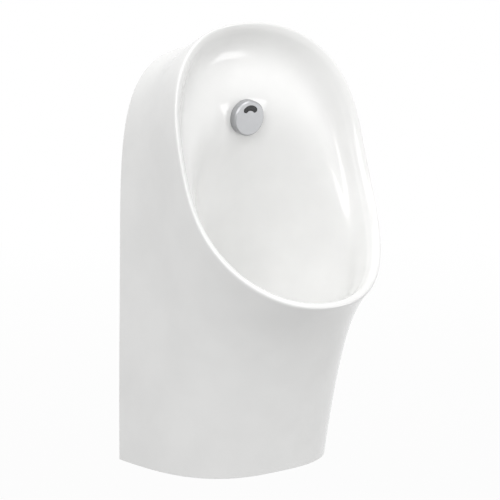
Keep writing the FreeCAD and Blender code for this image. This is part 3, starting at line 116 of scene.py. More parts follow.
# %% Bezier
def bezier(poles, share):
    """Point at each share of a Bezier: pole i of n weighs binomial(n, i) s^i (1 - s)^(n - i)."""
    last = len(poles) - 1
    weights = [math.comb(last, i) * share ** i * (1 - share) ** (last - i) for i in range(last + 1)]
    return np.tensordot(np.stack(weights, -1), np.asarray(poles, float), 1)


print("middle of an arch of three poles:", bezier([(0, 0), (50, 100), (100, 0)], 0.5))


# %% B-spline
def spline_weights(count, share, degree=3):
    """Weights of a clamped, evenly knotted B-spline's poles, by the Cox and de Boor rule:
    each level mixes two neighbours of the level below, one rising and one falling."""
    knots = np.concatenate([np.zeros(degree), np.linspace(0, 1, count - degree + 1), np.ones(degree)])
    place = np.clip(np.asarray(share, float), 0, 1 - 1e-12)[..., None]
    weights = ((knots[:-1] <= place) & (place < knots[1:])).astype(float)
    for level in range(1, degree + 1):
        rise = knots[level:-1] - knots[:-level - 1]
        fall = knots[level + 1:] - knots[1:-level]
        up = (place - knots[:-level - 1]) / np.where(rise > 0, rise, np.inf)
        down = (knots[level + 1:] - place) / np.where(fall > 0, fall, np.inf)
        weights = up * weights[..., :-1] + down * weights[..., 1:]
    return weights


def spline(poles, share):
    """Point at each share of a clamped cubic B-spline."""
    return spline_weights(len(poles), share) @ np.asarray(poles, float)


sums = spline_weights(11, np.linspace(0, 1, 50)).sum(-1)
print("weights of a spline add up to", round(sums.min(), 6), "...", round(sums.max(), 6))


# %% Closed B-spline
def ring_weights(count, turns):
    """Weights of a closed even cubic B-spline: four neighbouring poles share each place."""
    step = np.floor(turns * count).astype(int)
    t = turns * count - step
    four = np.stack([(1 - t) ** 3, 3 * t ** 3 - 6 * t ** 2 + 4, -3 * t ** 3 + 3 * t ** 2 + 3 * t + 1, t ** 3])
    weights = np.zeros((len(turns), count))
    for shift in range(4):
        weights[np.arange(len(turns)), (step + shift - 1) % count] = four[shift] / 6
    return weights


sums = ring_weights(12, np.linspace(0, 0.99, 50)).sum(-1)
print("weights of a ring add up to", round(sums.min(), 6), "...", round(sums.max(), 6))

# %% [markdown]
# ## The ring
# Cut the casting anywhere between its rim and the wall and the cut is a closed ring: round at
# the crown, flatter at the sides.  Each cut could be traced as a curve of its own, but a
# superellipse has that look with two exponents.  Every surface of the china is the same ring,
# carried from a top line to a front line while it leans back, so one function serves the
# outside and the bowl.

# %% Columns round the ring
POLE_COLUMNS = 96
BUNCH_SIDE, BUNCH_CROWN = 1.4, 1.1


def signed_power(number, power):
    """|number| to a power, with number's own sign."""
    return np.sign(number) * np.abs(number) ** power


def ring_angle(column):
    """Angle of a column round the ring, 0 at +x: in each quarter the share s becomes
    s^a / (s^a + (1 - s)^b), which gathers columns where the ring bends most."""
    quarter, share = np.divmod(4.0 * np.asarray(column) / POLE_COLUMNS, 1.0)
    share = np.where(quarter % 2 == 0, share, 1 - share)
    side, crown = share ** BUNCH_SIDE, (1 - share) ** BUNCH_CROWN
    angle = side / (side + crown) * math.pi / 2
    return np.choose(quarter.astype(int) % 4, [angle, math.pi - angle, math.pi + angle, -angle])


print("ring angles of one quarter:", np.degrees(ring_angle(np.arange(0, 25, 6))).round(1))


# %% The leaning superellipse
def rim_side_offset(across):
    """How far the rim's curved side line stands off the straight one, -1 at the lip, 1 on top."""
    share = (across + 1) / 2
    low, high = RIM_SIDE_DEPTHS[0], RIM_SIDE_DEPTHS[-1]
    return bezier(RIM_SIDE_DEPTHS, share) - low - (high - low) * share


def ring_point(top, bottom, half_width, roundness, angle, fade):
    """middle + reach * sin^(2/n) up the leaning plane, half_width * cos^(2/m) across it."""
    across = signed_power(np.sin(angle), 2 / roundness[0])
    along = signed_power(np.cos(angle), 2 / roundness[1])
    middle, reach = (top + bottom) / 2, (top - bottom) / 2
    depth = middle[..., 0] + reach[..., 0] * across + rim_side_offset(across) * fade
    return at(half_width * along, depth, middle[..., 1] + reach[..., 1] * across)


print("the rim's side line stands off a straight one by",
      rim_side_offset(np.linspace(-1, 1, 5)).round(1), "mm")

# %% [markdown]
# ## The two skins
# The outer skin starts on the rim and runs back to the wall and down to the bottom edge, where
# the casting is sawn flat and ground.  The bowl starts inside the rim and runs down to the
# drain.  Subdivided boxes could give the same masses, but their creases wander.  Here each skin
# has a top line, a front line, a half width and a roundness, and each of those changes with one
# share from 0 at the rim to 1 at its far end, so every cut stays fair.

# %% Lines of the outer skin
CROWN_LINE = [(CROWN_DEPTH, TOP), (CROWN_DEPTH - 100, TOP - 42), (0.35 * CROWN_DEPTH, ARCH - 23.5),
              (0, ARCH), (-260, ARCH + 60), (-520, ARCH + 180)]
FRONT_LINE = [(LIP_DEPTH, LIP_HEIGHT), (LIP_DEPTH - 82.5, LIP_HEIGHT - 59),
              (FOOT_DEPTH + 56.5, 0.55 * LIP_HEIGHT), (FOOT_DEPTH, 0), (FOOT_DEPTH - 32, -230),
              (FOOT_DEPTH - 53.5, -520)]
SKIN_HALVES = [RIM_HALF, RIM_HALF - 4.75, WAIST_HALF, WAIST_HALF, FOOT_HALF, FOOT_HALF]
print("outer skin:", len(CROWN_LINE), "poles on each line, which end behind the wall and below the edge")

# %% Lines of the bowl
SEAT_BACK, SEAT_FRONT = DRAIN_DEPTH - SEAT_RADIUS, DRAIN_DEPTH + SEAT_RADIUS
BOWL_BACK = [(CROWN_DEPTH - 3.5, TOP - 12.5), (CROWN_DEPTH - 13.5, TOP - 21),
             (CROWN_DEPTH - 27.5, TOP - 37), (CROWN_DEPTH - 24.5, TOP - 70),
             (CROWN_DEPTH - 1.5, SPRAY_HEIGHT + 23), (CROWN_DEPTH - 13.5, SPRAY_HEIGHT - 32),
             (70, 410), (54, 320), (54, 225), (SEAT_BACK - 37, DRAIN_HEIGHT + 18),
             (SEAT_BACK, DRAIN_HEIGHT)]
BOWL_FRONT = [(LIP_DEPTH - back, LIP_HEIGHT + up) for back, up in (
    (10.3, 8), (21.5, -2), (33.5, -13), (45.5, -24), (58.5, -41), (71.5, -59), (84.5, -75))]
BOWL_FRONT += [(SEAT_FRONT + out, DRAIN_HEIGHT + up) for out, up in ((46, 16), (33, 10), (17, 4), (0, 0))]
BOWL_HALVES = [RIM_HALF - LIP_WIDTH - narrower for narrower in (0, 4.5, 9.5, 15.5, 23, 32.5, 45.5)]
BOWL_HALVES += [88, 66, SEAT_RADIUS + 11, SEAT_RADIUS]
print("bowl:", len(BOWL_BACK), "poles on each line, from", BOWL_BACK[0], "down to", BOWL_BACK[-1])

# %% Outer skin and plain bowl
RIM_ROUNDNESS, SKIN_ROUNDNESS, CIRCLE = (2.87, 2.21), (3.81, 3.23), (2.0, 2.0)


def roundness_between(start, end, share):
    """Both exponents of the ring on their straight way from start to end."""
    return [first + (last - first) * share for first, last in zip(start, end)]


def skin_point(share, column):
    """Outer skin: Bezier lines, and a ring that turns squarer as share^0.7 grows."""
    share = np.asarray(share, float)
    return ring_point(bezier(CROWN_LINE, share), bezier(FRONT_LINE, share), bezier(SKIN_HALVES, share),
                      roundness_between(RIM_ROUNDNESS, SKIN_ROUNDNESS, share ** 0.7),
                      ring_angle(column), 1 - share)


def plain_bowl(share, column):
    """Bowl: B-spline lines, and a ring that eases to a circle at the drain."""
    share = np.asarray(share, float)
    return ring_point(spline(BOWL_BACK, share), spline(BOWL_FRONT, share), spline(BOWL_HALVES, share),
                      roundness_between(RIM_ROUNDNESS, CIRCLE, share),
                      ring_angle(column), (1 - share) ** 2)


print("lip of the skin:", skin_point(0.0, 72.0).round(4), " drain edge:", plain_bowl(1.0, 72.0).round(4))

# %% [markdown]
# ### The spray head's seat
# The spray head needs a flat seat in a bowl that is curved everywhere.  A Boolean could mill
# one, and it would leave a sharp ring in the glaze.  On the mould the plaster is scraped flat
# there and blended out by hand, which is a smoothstep of the distance from the head's axis.

# %% Where the spray head sits
fine = np.linspace(0, 0.8, 4001)
spray_share = fine[np.argmin(np.abs(spline(BOWL_BACK, fine)[:, 1] - SPRAY_HEIGHT))]
near, far = spline(BOWL_BACK, np.array([spray_share, spray_share + 0.001]))
fall = np.array([0, -(far[0] - near[0]), far[1] - near[1]])
HEAD_UP = -fall / np.linalg.norm(fall)
HEAD_OUT = np.cross([1, 0, 0], HEAD_UP)
HEAD_AT = at(0, near[0], near[1]) - HEAD_OUT * SPRAY_SUNK * MM
print("spray head at", HEAD_AT.round(4), "facing", HEAD_OUT.round(3))

# %% Bowl with the seat
SEAT_FLAT, SEAT_FADE = 1.15 * CAP_RADIUS, 2.2 * CAP_RADIUS


def bowl_point(share, column):
    """Bowl with a flat seat: a smoothstep of the distance from the head's axis takes away the
    height above the seat's plane, within one cap radius of it."""
    point = plain_bowl(share, column)
    offset = point - HEAD_AT
    out = offset @ HEAD_OUT
    radius = np.linalg.norm(offset - out[..., None] * HEAD_OUT, axis=-1)
    ease = np.clip((radius / MM - SEAT_FLAT) / (SEAT_FADE - SEAT_FLAT), 0, 1)
    above = out - SPRAY_SUNK * MM
    moved = np.where(np.abs(above) > CAP_RADIUS * MM, 0, above * (1 - ease * ease * (3 - 2 * ease)))
    return point - moved[..., None] * HEAD_OUT


print("the seat is flat for", round(SEAT_FLAT, 1), "mm round the head and gone after", SEAT_FADE, "mm")

# %% [markdown]
# ## Rows of poles
# A potter's profile runs from the drain up the bowl, over the lip and down the outside, and a
# second one runs back inside the wall.  The two skins could simply be joined and their edges
# bevelled, but a bevel has one radius and a lip has many.  So along each run lie rows of poles,
# one pole for each of 96 columns round the ring, as on the real mould's drawing.  A cubic
# B-spline over all of them smooths every join, and the lip, the flare under it and the cove at
# the crown have no crease.


# %% Directions and halving
def unit(vectors):
    """Vectors brought to length one."""
    return vectors / np.linalg.norm(vectors, axis=-1, keepdims=True)


def across_to(direction, tangent):
    """The part of a direction that is square to a tangent, as a unit vector."""
    return unit(direction - tangent * (direction * tangent).sum(-1, keepdims=True))


def bisect(function, low, high, steps=40):
    """Shares at which falling functions cross zero, all columns at once, by halving."""
    for _ in range(steps):
        middle = (low + high) / 2
        above = function(middle) > 0
        low, high = np.where(above, middle, low), np.where(above, high, middle)
    return (low + high) / 2


print("halving finds the root of 2:", bisect(lambda x: 2 - x * x, np.array(1.0), np.array(2.0)).round(6))

# %% Directions at the rim
column = np.arange(POLE_COLUMNS, dtype=float)
rim_tangent = unit(skin_point(0.0, column + 0.4) - skin_point(0.0, column - 0.4))
rim_outer, rim_bowl = skin_point(0.0, column), bowl_point(0.0, column)
rim_inward = across_to(rim_bowl - rim_outer, rim_tangent)
rim_inner = rim_outer + rim_inward * LIP_WIDTH * MM
skin_way = across_to(skin_point(0.01, column) - rim_outer, rim_tangent)
bowl_way = across_to(bowl_point(0.03, column) - rim_bowl, rim_tangent)
turn_in = np.degrees(np.arccos((rim_inward * bowl_way).sum(-1)))
print("the bowl turns away from the lip by", turn_in[::24].round(), "degrees at side, crown, side and lip")

# %% Where the skin ends
# Each column stops a little past the wall or the bottom edge.  The shares are smoothed over four
# columns on either side, so that the rows beyond the corner stay even.
END_SPARE, MOST_SHARE = 0.04, 0.95
BESIDE = range(-4, 5)


def room_left(points):
    """How far points are from the wall or the bottom edge, whichever is nearer."""
    return np.minimum(-points[..., 1], points[..., 2] + HANGER_HEIGHT * MM)


rim_shares = np.zeros(POLE_COLUMNS)
edges = bisect(lambda share: room_left(skin_point(share, column)), rim_shares, rim_shares + MOST_SHARE)
peaks = np.max([np.roll(edges, step) for step in BESIDE], axis=0)
skin_ends = END_SPARE + np.mean([np.roll(peaks, step) for step in BESIDE], axis=0)
print("skin ends between shares", skin_ends.min().round(3), "and", skin_ends.max().round(3))


# %% Glazed rows: drain, bowl, lip, outer skin
def parabola(corner, way_in, way_out, setback, share):
    """Rounded corner: corner + setback (way_in (1 - t)^2 + way_out t^2)."""
    return corner + setback * MM * (way_in * (1 - share) ** 2 + way_out * share ** 2)


BOWL_SHARES = [1.0, 0.97, 0.93, 0.88, 0.83, 0.78, 0.72, 0.66, 0.60, 0.54, 0.48, 0.42, 0.36, 0.30,
               0.25, 0.20, 0.16, 0.12, 0.09, 0.06, 0.04]
NEAR_SHARES = [0.022, 0.04, 0.07, 0.10]
FAR_STEPS = 14
glazed = [bowl_point(share, column) for share in BOWL_SHARES]
glazed += [parabola(rim_inner, -rim_inward, bowl_way, INNER_ROUND, share)
           for share in (1.0, 0.66, 0.33, 0.0)]
glazed += [parabola(rim_outer, skin_way, rim_inward, OUTER_ROUND, share)
           for share in (0.9, 0.6, 0.3, 0.0)]
glazed += [skin_point(share, column) for share in NEAR_SHARES]
glazed += [skin_point(NEAR_SHARES[-1] + (skin_ends - NEAR_SHARES[-1]) * step / FAR_STEPS, column)
           for step in range(1, FAR_STEPS + 1)]
glazed = np.array(glazed)
print("glazed rows:", len(glazed))


# %% Where the hidden skins meet
def behind(surface, share, sign):
    """Points one wall behind a skin, along its normal from differences both ways."""
    low, high = np.maximum(share - 0.004, 0), np.minimum(share + 0.004, 1)
    along = surface(high, column) - surface(low, column)
    around = surface(share, column + 0.4) - surface(share, column - 0.4)
    return surface(share, column) + unit(np.cross(along, around)) * sign * WALL * MM


# Near the lip the two walls are one.  They part, in each column, at the first share where the
# skins are two walls and a little air apart.
PARTING_AIR = 8.0
shares = 0.02 * np.arange(1, 46)[:, None]
skin_grid, bowl_grid = skin_point(shares, column), bowl_point(shares, column)
gaps = np.linalg.norm(skin_grid[:, None] - bowl_grid[None], axis=-1)
first = np.argmax(gaps.min(axis=1) > (2 * WALL + PARTING_AIR) * MM, axis=0)
nearest = np.argmin(gaps[first, :, np.arange(POLE_COLUMNS)], axis=1)
skin_start, bowl_start = shares[first, 0], shares[nearest, 0]
print("walls part between shares", skin_start.min(), "and", skin_start.max().round(2), "of the skin")


# %% Hidden rows: one wall's thickness behind the glaze
def drain_ring(radius, height):
    """A level circle of poles round the drain."""
    angle = ring_angle(column)
    return at(radius * np.cos(angle), DRAIN_DEPTH - radius * np.sin(angle), height)


SKIN_STEPS, BOWL_STEPS, BOWL_LAST = 16, 16, 0.90
SEAT = DRAIN_HEIGHT - SEAT_DROP
FOOT, HORN = SEAT - HORN_LENGTH, DRAIN_RADIUS + WALL
hidden = [behind(skin_point, skin_ends + (skin_start - skin_ends) * step / (SKIN_STEPS - 1), -1)
          for step in range(SKIN_STEPS)]
hidden += [behind(bowl_point, bowl_start + (BOWL_LAST - bowl_start) * step / (BOWL_STEPS - 1), 1)
           for step in range(BOWL_STEPS)]
hidden += [drain_ring(HORN + 1, FOOT + 12), drain_ring(HORN, FOOT + 6), drain_ring(HORN, FOOT)]
hidden = np.array(hidden)
print("hidden rows:", len(hidden))

# %% [markdown]
# ## From poles to a mesh
# The casting is sawn flat where it meets the wall and at its bottom edge.  A boolean cut would
# leave ragged faces there, so the rows stop exactly on those planes instead: each column is a
# curve, and halving finds the share at which it arrives.  Two columns are led to the corners
# where the wall and the bottom edge meet, so that the corners come out square.


# %% Columns as curves
def columns_of(rows, turns):
    """Poles of the curve that runs down each column."""
    return np.einsum("rcx,nc->rnx", rows, ring_weights(POLE_COLUMNS, turns))


def along_columns(curves, shares):
    """Points of the column curves at a grid of shares, one share for each row and column."""
    shares = np.broadcast_to(shares, (len(shares), curves.shape[1]))
    return np.einsum("knr,rnx->knx", spline_weights(len(curves), shares), curves)


lip_column = along_columns(columns_of(glazed, np.array([0.75])), np.linspace(0, 1, 5)[:, None])[:, 0]
print("heights down the front column:", (lip_column[:, 2] / MM + HANGER_HEIGHT).round(1), "mm")


# %% Columns cut by the wall and the bottom edge
def arrival(rows, turns, inner, outer):
    """Share at which each column reaches the wall or the bottom edge."""
    curves = columns_of(rows, turns)
    start = np.full(len(turns), float(inner))
    return bisect(lambda share: room_left(along_columns(curves, share[None])[0]),
                  start, np.full(len(turns), float(outer)))


def corner_turn(rows, inner, outer):
    """Turn of the column that passes through the lower right corner at the wall."""
    def wall_first(turn):
        turns = np.array([turn])
        share = arrival(rows, turns, inner, outer)
        point = along_columns(columns_of(rows, turns), share[None])[0, 0]
        return -point[1] - (point[2] + HANGER_HEIGHT * MM)
    return float(bisect(lambda turn: wall_first(float(turn)), np.array(0.76), np.array(0.99)))


SIDE_COLUMNS, COLUMNS = 92, 288


def turns_between(corner):
    """Turns of all columns: the front arc from corner to corner, then the arc over the crown."""
    front = np.linspace(1.5 - corner, corner, SIDE_COLUMNS, endpoint=False)
    crown = np.linspace(corner, 2.5 - corner, COLUMNS - SIDE_COLUMNS, endpoint=False)
    return np.concatenate([front, crown]) % 1.0


glazed_turns = turns_between(corner_turn(glazed, 0.75, 1.0))
hidden_turns = turns_between(corner_turn(hidden, 0.25, 0.0))
glazed_end = arrival(glazed, glazed_turns, 0.75, 1.0)
hidden_end = arrival(hidden, hidden_turns, 0.25, 0.0)
print("corner turns:", glazed_turns[SIDE_COLUMNS].round(4), hidden_turns[SIDE_COLUMNS].round(4))

# %% Rings of the whole casting
ROWS_PER_SPAN, HIDDEN_ROWS, EDGE_SHARE = 4, 70, 0.75


def seat_ring(radius, height):
    """A level circle of the mesh's own columns round the drain."""
    return columns_of(drain_ring(radius, height)[None], glazed_turns)


shared_rows = np.linspace(0, EDGE_SHARE, int(EDGE_SHARE * (len(glazed) - 3)) * ROWS_PER_SPAN)[:, None]
last_rows = np.linspace(0, 1, 12 * ROWS_PER_SPAN)[1:, None]
glazed_curves, hidden_curves = columns_of(glazed, glazed_turns), columns_of(hidden, hidden_turns)
inside_rows = np.linspace(0, 1, HIDDEN_ROWS)[:, None]
rings = [seat_ring(DRAIN_RADIUS, FOOT), seat_ring(DRAIN_RADIUS, SEAT), seat_ring(SEAT_RADIUS, SEAT),
         along_columns(glazed_curves, shared_rows),
         along_columns(glazed_curves, EDGE_SHARE + (glazed_end - EDGE_SHARE) * last_rows),
         along_columns(hidden_curves, hidden_end + (1 - hidden_end) * inside_rows)]
casting = np.concatenate(rings)
print("rings:", casting.shape, " box:", casting.min((0, 1)).round(4), casting.max((0, 1)).round(4))

# %% [markdown]
# ## One closed casting
# The rings join up into a torus of quads: up the bowl, over the lip, down the outside, back up
# inside and round the drain horn.  Two open sheets with a Solidify would look alike from the
# front, but the real casting is closed, and its volume gives its weight.  The sawn edges and the
# drain's steps are the only hard rings, and a narrow Bevel rounds them as a wet sponge does
# before firing.


# %% Meshes from grids
def outward(points, faces):
    """Faces turned so that the closed mesh has a positive volume."""
    corners = points[faces]
    volume = np.einsum("fx,fx->", corners[:, 0], np.cross(corners[:, 1], corners[:, 2]))
    return faces if volume > 0 else faces[:, ::-1]


def grid_faces(rows, columns):
    """Quads between neighbours of a grid whose rows and columns both close on themselves."""
    index = np.arange(rows * columns).reshape(rows, columns)
    beside, after = np.roll(index, -1, 1), np.roll(index, -1, 0)
    return np.stack([index, beside, np.roll(after, -1, 1), after], -1).reshape(-1, 4)


def mesh_object(name, points, faces, smooth, bare):
    """A mesh object at the origin from arrays of points and quads.  `bare` marks the faces that
    have no glaze and wear the second material."""
    mesh = bpy.data.meshes.new(name)
    points = points.reshape(-1, 3)
    mesh.from_pydata(points, [], outward(points, faces).tolist())
    mesh.polygons.foreach_set("use_smooth", np.full(len(faces), smooth))
    mesh.polygons.foreach_set("material_index", np.broadcast_to(bare, len(faces)).astype(np.int32))
    made = bpy.data.objects.new(name, mesh)
    bpy.context.scene.collection.objects.link(made)
    return made


print("faces of a torus of 3 rows and 4 columns:", len(grid_faces(3, 4)))


# %% Finished meshes and their volume
def apply_modifiers(made):
    """Replace an object's mesh by what its modifiers make of it."""
    graph = bpy.context.evaluated_depsgraph_get()
    finished = bpy.data.meshes.new_from_object(made.evaluated_get(graph))
    made.modifiers.clear()
    made.data = finished


def volume_of(made):
    """Volume of a closed mesh in litres, from its triangles and the origin."""
    mesh = made.data
    mesh.calc_loop_triangles()
    places = np.zeros(len(mesh.vertices) * 3)
    mesh.vertices.foreach_get("co", places)
    corners = np.zeros(len(mesh.loop_triangles) * 3, int)
    mesh.loop_triangles.foreach_get("vertices", corners)
    a, b, c = places.reshape(-1, 3)[corners.reshape(-1, 3)].transpose(1, 0, 2)
    return float(np.einsum("ix,ix->", a, np.cross(b, c))) / 6 * 1000


print("the packed casting holds", round(volume_of(frame["nodes"]["ceramic_body"]), 3), "litres of china")

# %% The casting
SPONGED = 1.0
first_biscuit = sum(len(ring) for ring in rings[:5]) - 1
hard_rings = [0, 1, 2, 3, first_biscuit, first_biscuit + 1, len(casting) - 1]
bare = np.repeat(np.arange(len(casting)) >= first_biscuit, COLUMNS)
china = mesh_object("china_body", casting, grid_faces(len(casting), COLUMNS), True, bare)
edge_ends = np.zeros(len(china.data.edges) * 2, int)
china.data.edges.foreach_get("vertices", edge_ends)
edge_rings = edge_ends.reshape(-1, 2) // COLUMNS
along_ring = (edge_rings[:, 0] == edge_rings[:, 1]) & np.isin(edge_rings[:, 0], hard_rings)
weight = china.data.attributes.new("bevel_weight_edge", "FLOAT", "EDGE")
weight.data.foreach_set("value", along_ring.astype(np.float32))
bevel = china.modifiers.new("sponged_edges", "BEVEL")
bevel.limit_method, bevel.width, bevel.segments = "WEIGHT", SPONGED * MM, 3
bevel.harden_normals = True
apply_modifiers(china)
print("casting:", len(china.data.polygons), "faces,", round(volume_of(china), 3), "litres of china")

# %% [markdown]
# ## Lugs, and the way through for the spray head
# Two blocks of china are stuck on inside before firing, and the casting hangs by them.  The way
# through for the spray head is drilled, and its seats are ground flat.  Both go across the grid
# of the casting, so they could only be part of it with a much denser one.  They are solids of
# their own instead, joined and cut by a Boolean.

# %% Solids that join and cut
HEAD_TURN = np.array([[1, 0, 0], HEAD_UP, HEAD_OUT])


def on_head(points):
    """Points from the spray head's own frame: x, up the bowl, out of the bowl, in mm."""
    return HEAD_AT + np.asarray(points, float) * MM @ HEAD_TURN


def rounded_block(name, low, high, rounding):
    """A block with edges rounded by a Bevel, from two corners in metres."""
    corners = np.array([[x, y, z] for z in (0, 1) for x, y in ((0, 0), (1, 0), (1, 1), (0, 1))])
    faces = np.array([[0, 3, 2, 1], [4, 5, 6, 7], [0, 1, 5, 4], [1, 2, 6, 5], [2, 3, 7, 6], [3, 0, 4, 7]])
    block = mesh_object(name, low + (high - low) * corners, faces, True, True)
    soft = block.modifiers.new("soft_edges", "BEVEL")
    soft.width, soft.segments = rounding * MM, 4
    apply_modifiers(block)
    return block


def turned(name, profile, place, steps=96):
    """A closed solid of revolution: the profile's (radius, height) points swept by a circle."""
    angle = np.linspace(0, 2 * math.pi, steps, endpoint=False)
    radius, height = np.asarray(profile, float).T[:, :, None]
    points = np.stack(np.broadcast_arrays(radius * np.cos(angle), radius * np.sin(angle), height), -1)
    return mesh_object(name, place(points), grid_faces(len(profile), steps), False, True)


def combine(made, tool, operation):
    """Join or cut with another solid, then drop the tool."""
    step = made.modifiers.new("step", "BOOLEAN")
    step.object, step.operation, step.solver = tool, operation, "EXACT"
    apply_modifiers(made)
    bpy.data.objects.remove(tool)


print("the spray head's axis leans", round(math.degrees(math.asin(-HEAD_OUT[2])), 1), "degrees down")

# %% Hanging lugs
LUG_SPACING, LUG_WIDTH, LUG_THICK, LUG_GAP = 160.0, 36.0, 12.0, 8.0
LUG_FOOT, LUG_TOP, LUG_ROUND = 550.0, 578.0, 2.0
for side in (-1, 1):
    reach = np.array([side * LUG_SPACING / 2 - LUG_WIDTH / 2, side * LUG_SPACING / 2 + LUG_WIDTH / 2])
    low, high = at(reach, [LUG_GAP + LUG_THICK, LUG_GAP], [LUG_FOOT, LUG_TOP])
    combine(china, rounded_block("lug", low, high, LUG_ROUND), "UNION")
print("with lugs:", round(volume_of(china), 3), "litres")

# %% Way through, with a ground seat on either side
# The cutter is a spool: a stem as wide as the hole between two wide cheeks, one resting on the
# glazed seat and one on the back of the wall.  Its core is a hair wide, so that the profile
# closes.
FACE_RADIUS, CHEEK, CORE = CAP_RADIUS + 0.4, 20.0, 0.02
BACK = WALL - 2 * SPRAY_SUNK
spool = turned("spool", [(CORE, -BACK - CHEEK), (FACE_RADIUS, -BACK - CHEEK), (FACE_RADIUS, -BACK),
                         (SPRAY_HOLE, -BACK), (SPRAY_HOLE, 0), (FACE_RADIUS, 0), (FACE_RADIUS, CHEEK),
                         (CORE, CHEEK)], on_head)
combine(china, spool, "DIFFERENCE")
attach(china, "root")
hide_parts("ceramic_body")
print("china:", len(china.data.polygons), "faces,", round(volume_of(china), 3), "litres")

# %% [markdown]
# ## Finishes
# A finish is more than a colour: a glaze is a layer of glass with a slow ripple, zinc grows
# crystals as it cools, a moulded plastic keeps the spark texture of its mould.  Each could be a
# node tree drawn by hand, but most differ only in their numbers, so one recipe serves them, and
# the few that need a pattern add it on top.  Every pattern is sized in millimetres of the real
# surface and read from Object coordinates, so it stays put when the object moves.


# %% Colours and nodes
def srgb(code):
    """Linear RGBA from a hex colour: ((c + 0.055) / 1.055)^2.4, or c / 12.92 when dark."""
    parts = [int(code[i:i + 2], 16) / 255 for i in (1, 3, 5)]
    return [p / 12.92 if p <= 0.04045 else ((p + 0.055) / 1.055) ** 2.4 for p in parts] + [1.0]


def add(tree, kind, inputs=None, output=0, **settings):
    """One node with its settings and links: an input is a value or the socket that feeds it.
    Returns one output socket, or the node itself where output is None."""
    made = tree.nodes.new(kind)
    for name, setting in settings.items():
        setattr(made, name, setting)
    for name, source in (inputs or {}).items():
        if isinstance(source, bpy.types.NodeSocket):
            tree.links.new(source, made.inputs[name])
        else:
            made.inputs[name].default_value = source
    return made if output is None else made.outputs[output]


print("middle grey #808080 is", round(srgb("#808080")[0], 3), "in linear light")


# %% A plain recipe
def finish(name, colours, drift, gloss, grain, relief, stretch=(1, 1, 1), **shader):
    """A material whose colour and roughness wander between two values over `drift` mm, above a
    relief `relief` mm deep in grains of `grain` mm.  Brushed and drawn surfaces stretch it."""
    material = bpy.data.materials.new(name)
    material.use_nodes = True
    tree = material.node_tree
    tree.nodes.clear()
    place = add(tree, "ShaderNodeMapping", {"Vector": add(tree, "ShaderNodeTexCoord", output="Object"),
                                            "Scale": stretch})
    cloud = add(tree, "ShaderNodeTexNoise", {"Vector": place, "Scale": 1000 / drift, "Detail": 3.0})
    share = add(tree, "ShaderNodeMapRange", {"Value": cloud, "From Min": 0.35, "From Max": 0.65})
    colour = add(tree, "ShaderNodeMix", {0: share, 6: srgb(colours[0]), 7: srgb(colours[1])},
                 output=2, data_type="RGBA")
    rough = add(tree, "ShaderNodeMapRange", {"Value": share, "To Min": gloss[0], "To Max": gloss[1]})
    grit = add(tree, "ShaderNodeTexNoise", {"Vector": place, "Scale": 1000 / grain, "Detail": 2.0})
    normal = add(tree, "ShaderNodeBump", {"Height": grit, "Distance": relief * MM})
    surface = add(tree, "ShaderNodeBsdfPrincipled", {"Base Color": colour, "Roughness": rough,
                                                     "Normal": normal, **shader})
    add(tree, "ShaderNodeOutputMaterial", {"Surface": surface}, output=None)
    return material


# %% China
# White tin-free glaze fired at 1200 degrees: glassy, with a ripple a few centimetres long where
# it ran.  The eye gets a soft, slightly wandering mirror over an even white.
glaze = finish("glazed_vitreous_china", ("#EDEDEC", "#F2F2F1"), 90, (0.12, 0.18), 30, 0.10, IOR=1.52)
# Fired body left bare where the casting was ground or never sprayed: cream, dry and sandy.
biscuit = finish("ground_biscuit_china", ("#CFC8BA", "#E2DCD0"), 60, (0.8, 0.9), 1.4, 0.12)
china.data.materials.clear()
china.data.materials.append(glaze)
china.data.materials.append(biscuit)
print("china wears", [slot.material.name for slot in china.material_slots])

# %% [markdown]
# ### Metals
# Hooks and angles are hot dip galvanised: the zinc freezes in feathery crystals about a
# centimetre across, each a slightly different grey, which a Voronoi pattern gives cell by cell.
# A noise would give clouds there, with no crystal edges.  Plated and bare brass are cast or
# drawn and then polished, so they only wander a little.  Stainless pieces are brushed, which is
# the same recipe squeezed along one direction.

# %% Zinc
SPANGLE = 9.0


def galvanised():
    """Zinc spangle: each Voronoi cell keeps one grey and one gloss of its own."""
    material = finish("hot_dip_galvanised_steel", ("#8E9294", "#B9BDBF"), 30, (0.34, 0.5), 2.5, 0.02,
                      Metallic=1.0)
    tree = material.node_tree
    surface = tree.nodes["Principled BSDF"]
    cells = add(tree, "ShaderNodeTexVoronoi", {"Scale": 1000 / SPANGLE, "Randomness": 1.0,
                                               "Vector": add(tree, "ShaderNodeTexCoord", output="Object")},
                output="Color")
    grey = add(tree, "ShaderNodeSeparateColor", {0: cells})
    colour = add(tree, "ShaderNodeMix", {0: grey, 6: srgb("#8A8F92"), 7: srgb("#C3C7C9")},
                 output=2, data_type="RGBA")
    rough = add(tree, "ShaderNodeMapRange", {"Value": grey, "To Min": 0.32, "To Max": 0.52})
    tree.links.new(colour, surface.inputs["Base Color"])
    tree.links.new(rough, surface.inputs["Roughness"])
    return material


zinc = galvanised()
print("spangle of", SPANGLE, "mm on", zinc.name)

# %% Plated, bare and brushed metals
# Dull nickel over cast brass: a warm silver whose reflections are soft at the edges.
nickel = finish("nickel_plated_brass", ("#C2BDB4", "#D0CCC4"), 14, (0.16, 0.26), 3, 0.01, Metallic=1.0)
# Brass as it left the lathe: yellow, with fine rings that dull it.
brass = finish("bare_turned_brass", ("#B08D4A", "#CDAA62"), 10, (0.26, 0.38), 0.8, 0.008,
               stretch=(1, 1, 6), Metallic=1.0)
# Stainless sheet and wire: cool grey, with brush marks that draw its highlights out.  The marks
# are drawn a few times coarser than real ones, so that they show.
stainless = finish("brushed_stainless_steel", ("#B3B6B8", "#C6C8C9"), 8, (0.24, 0.36), 0.6, 0.006,
                   stretch=(0.08, 1, 1), Metallic=1.0)
print("metals:", zinc.name, nickel.name, brass.name, stainless.name)

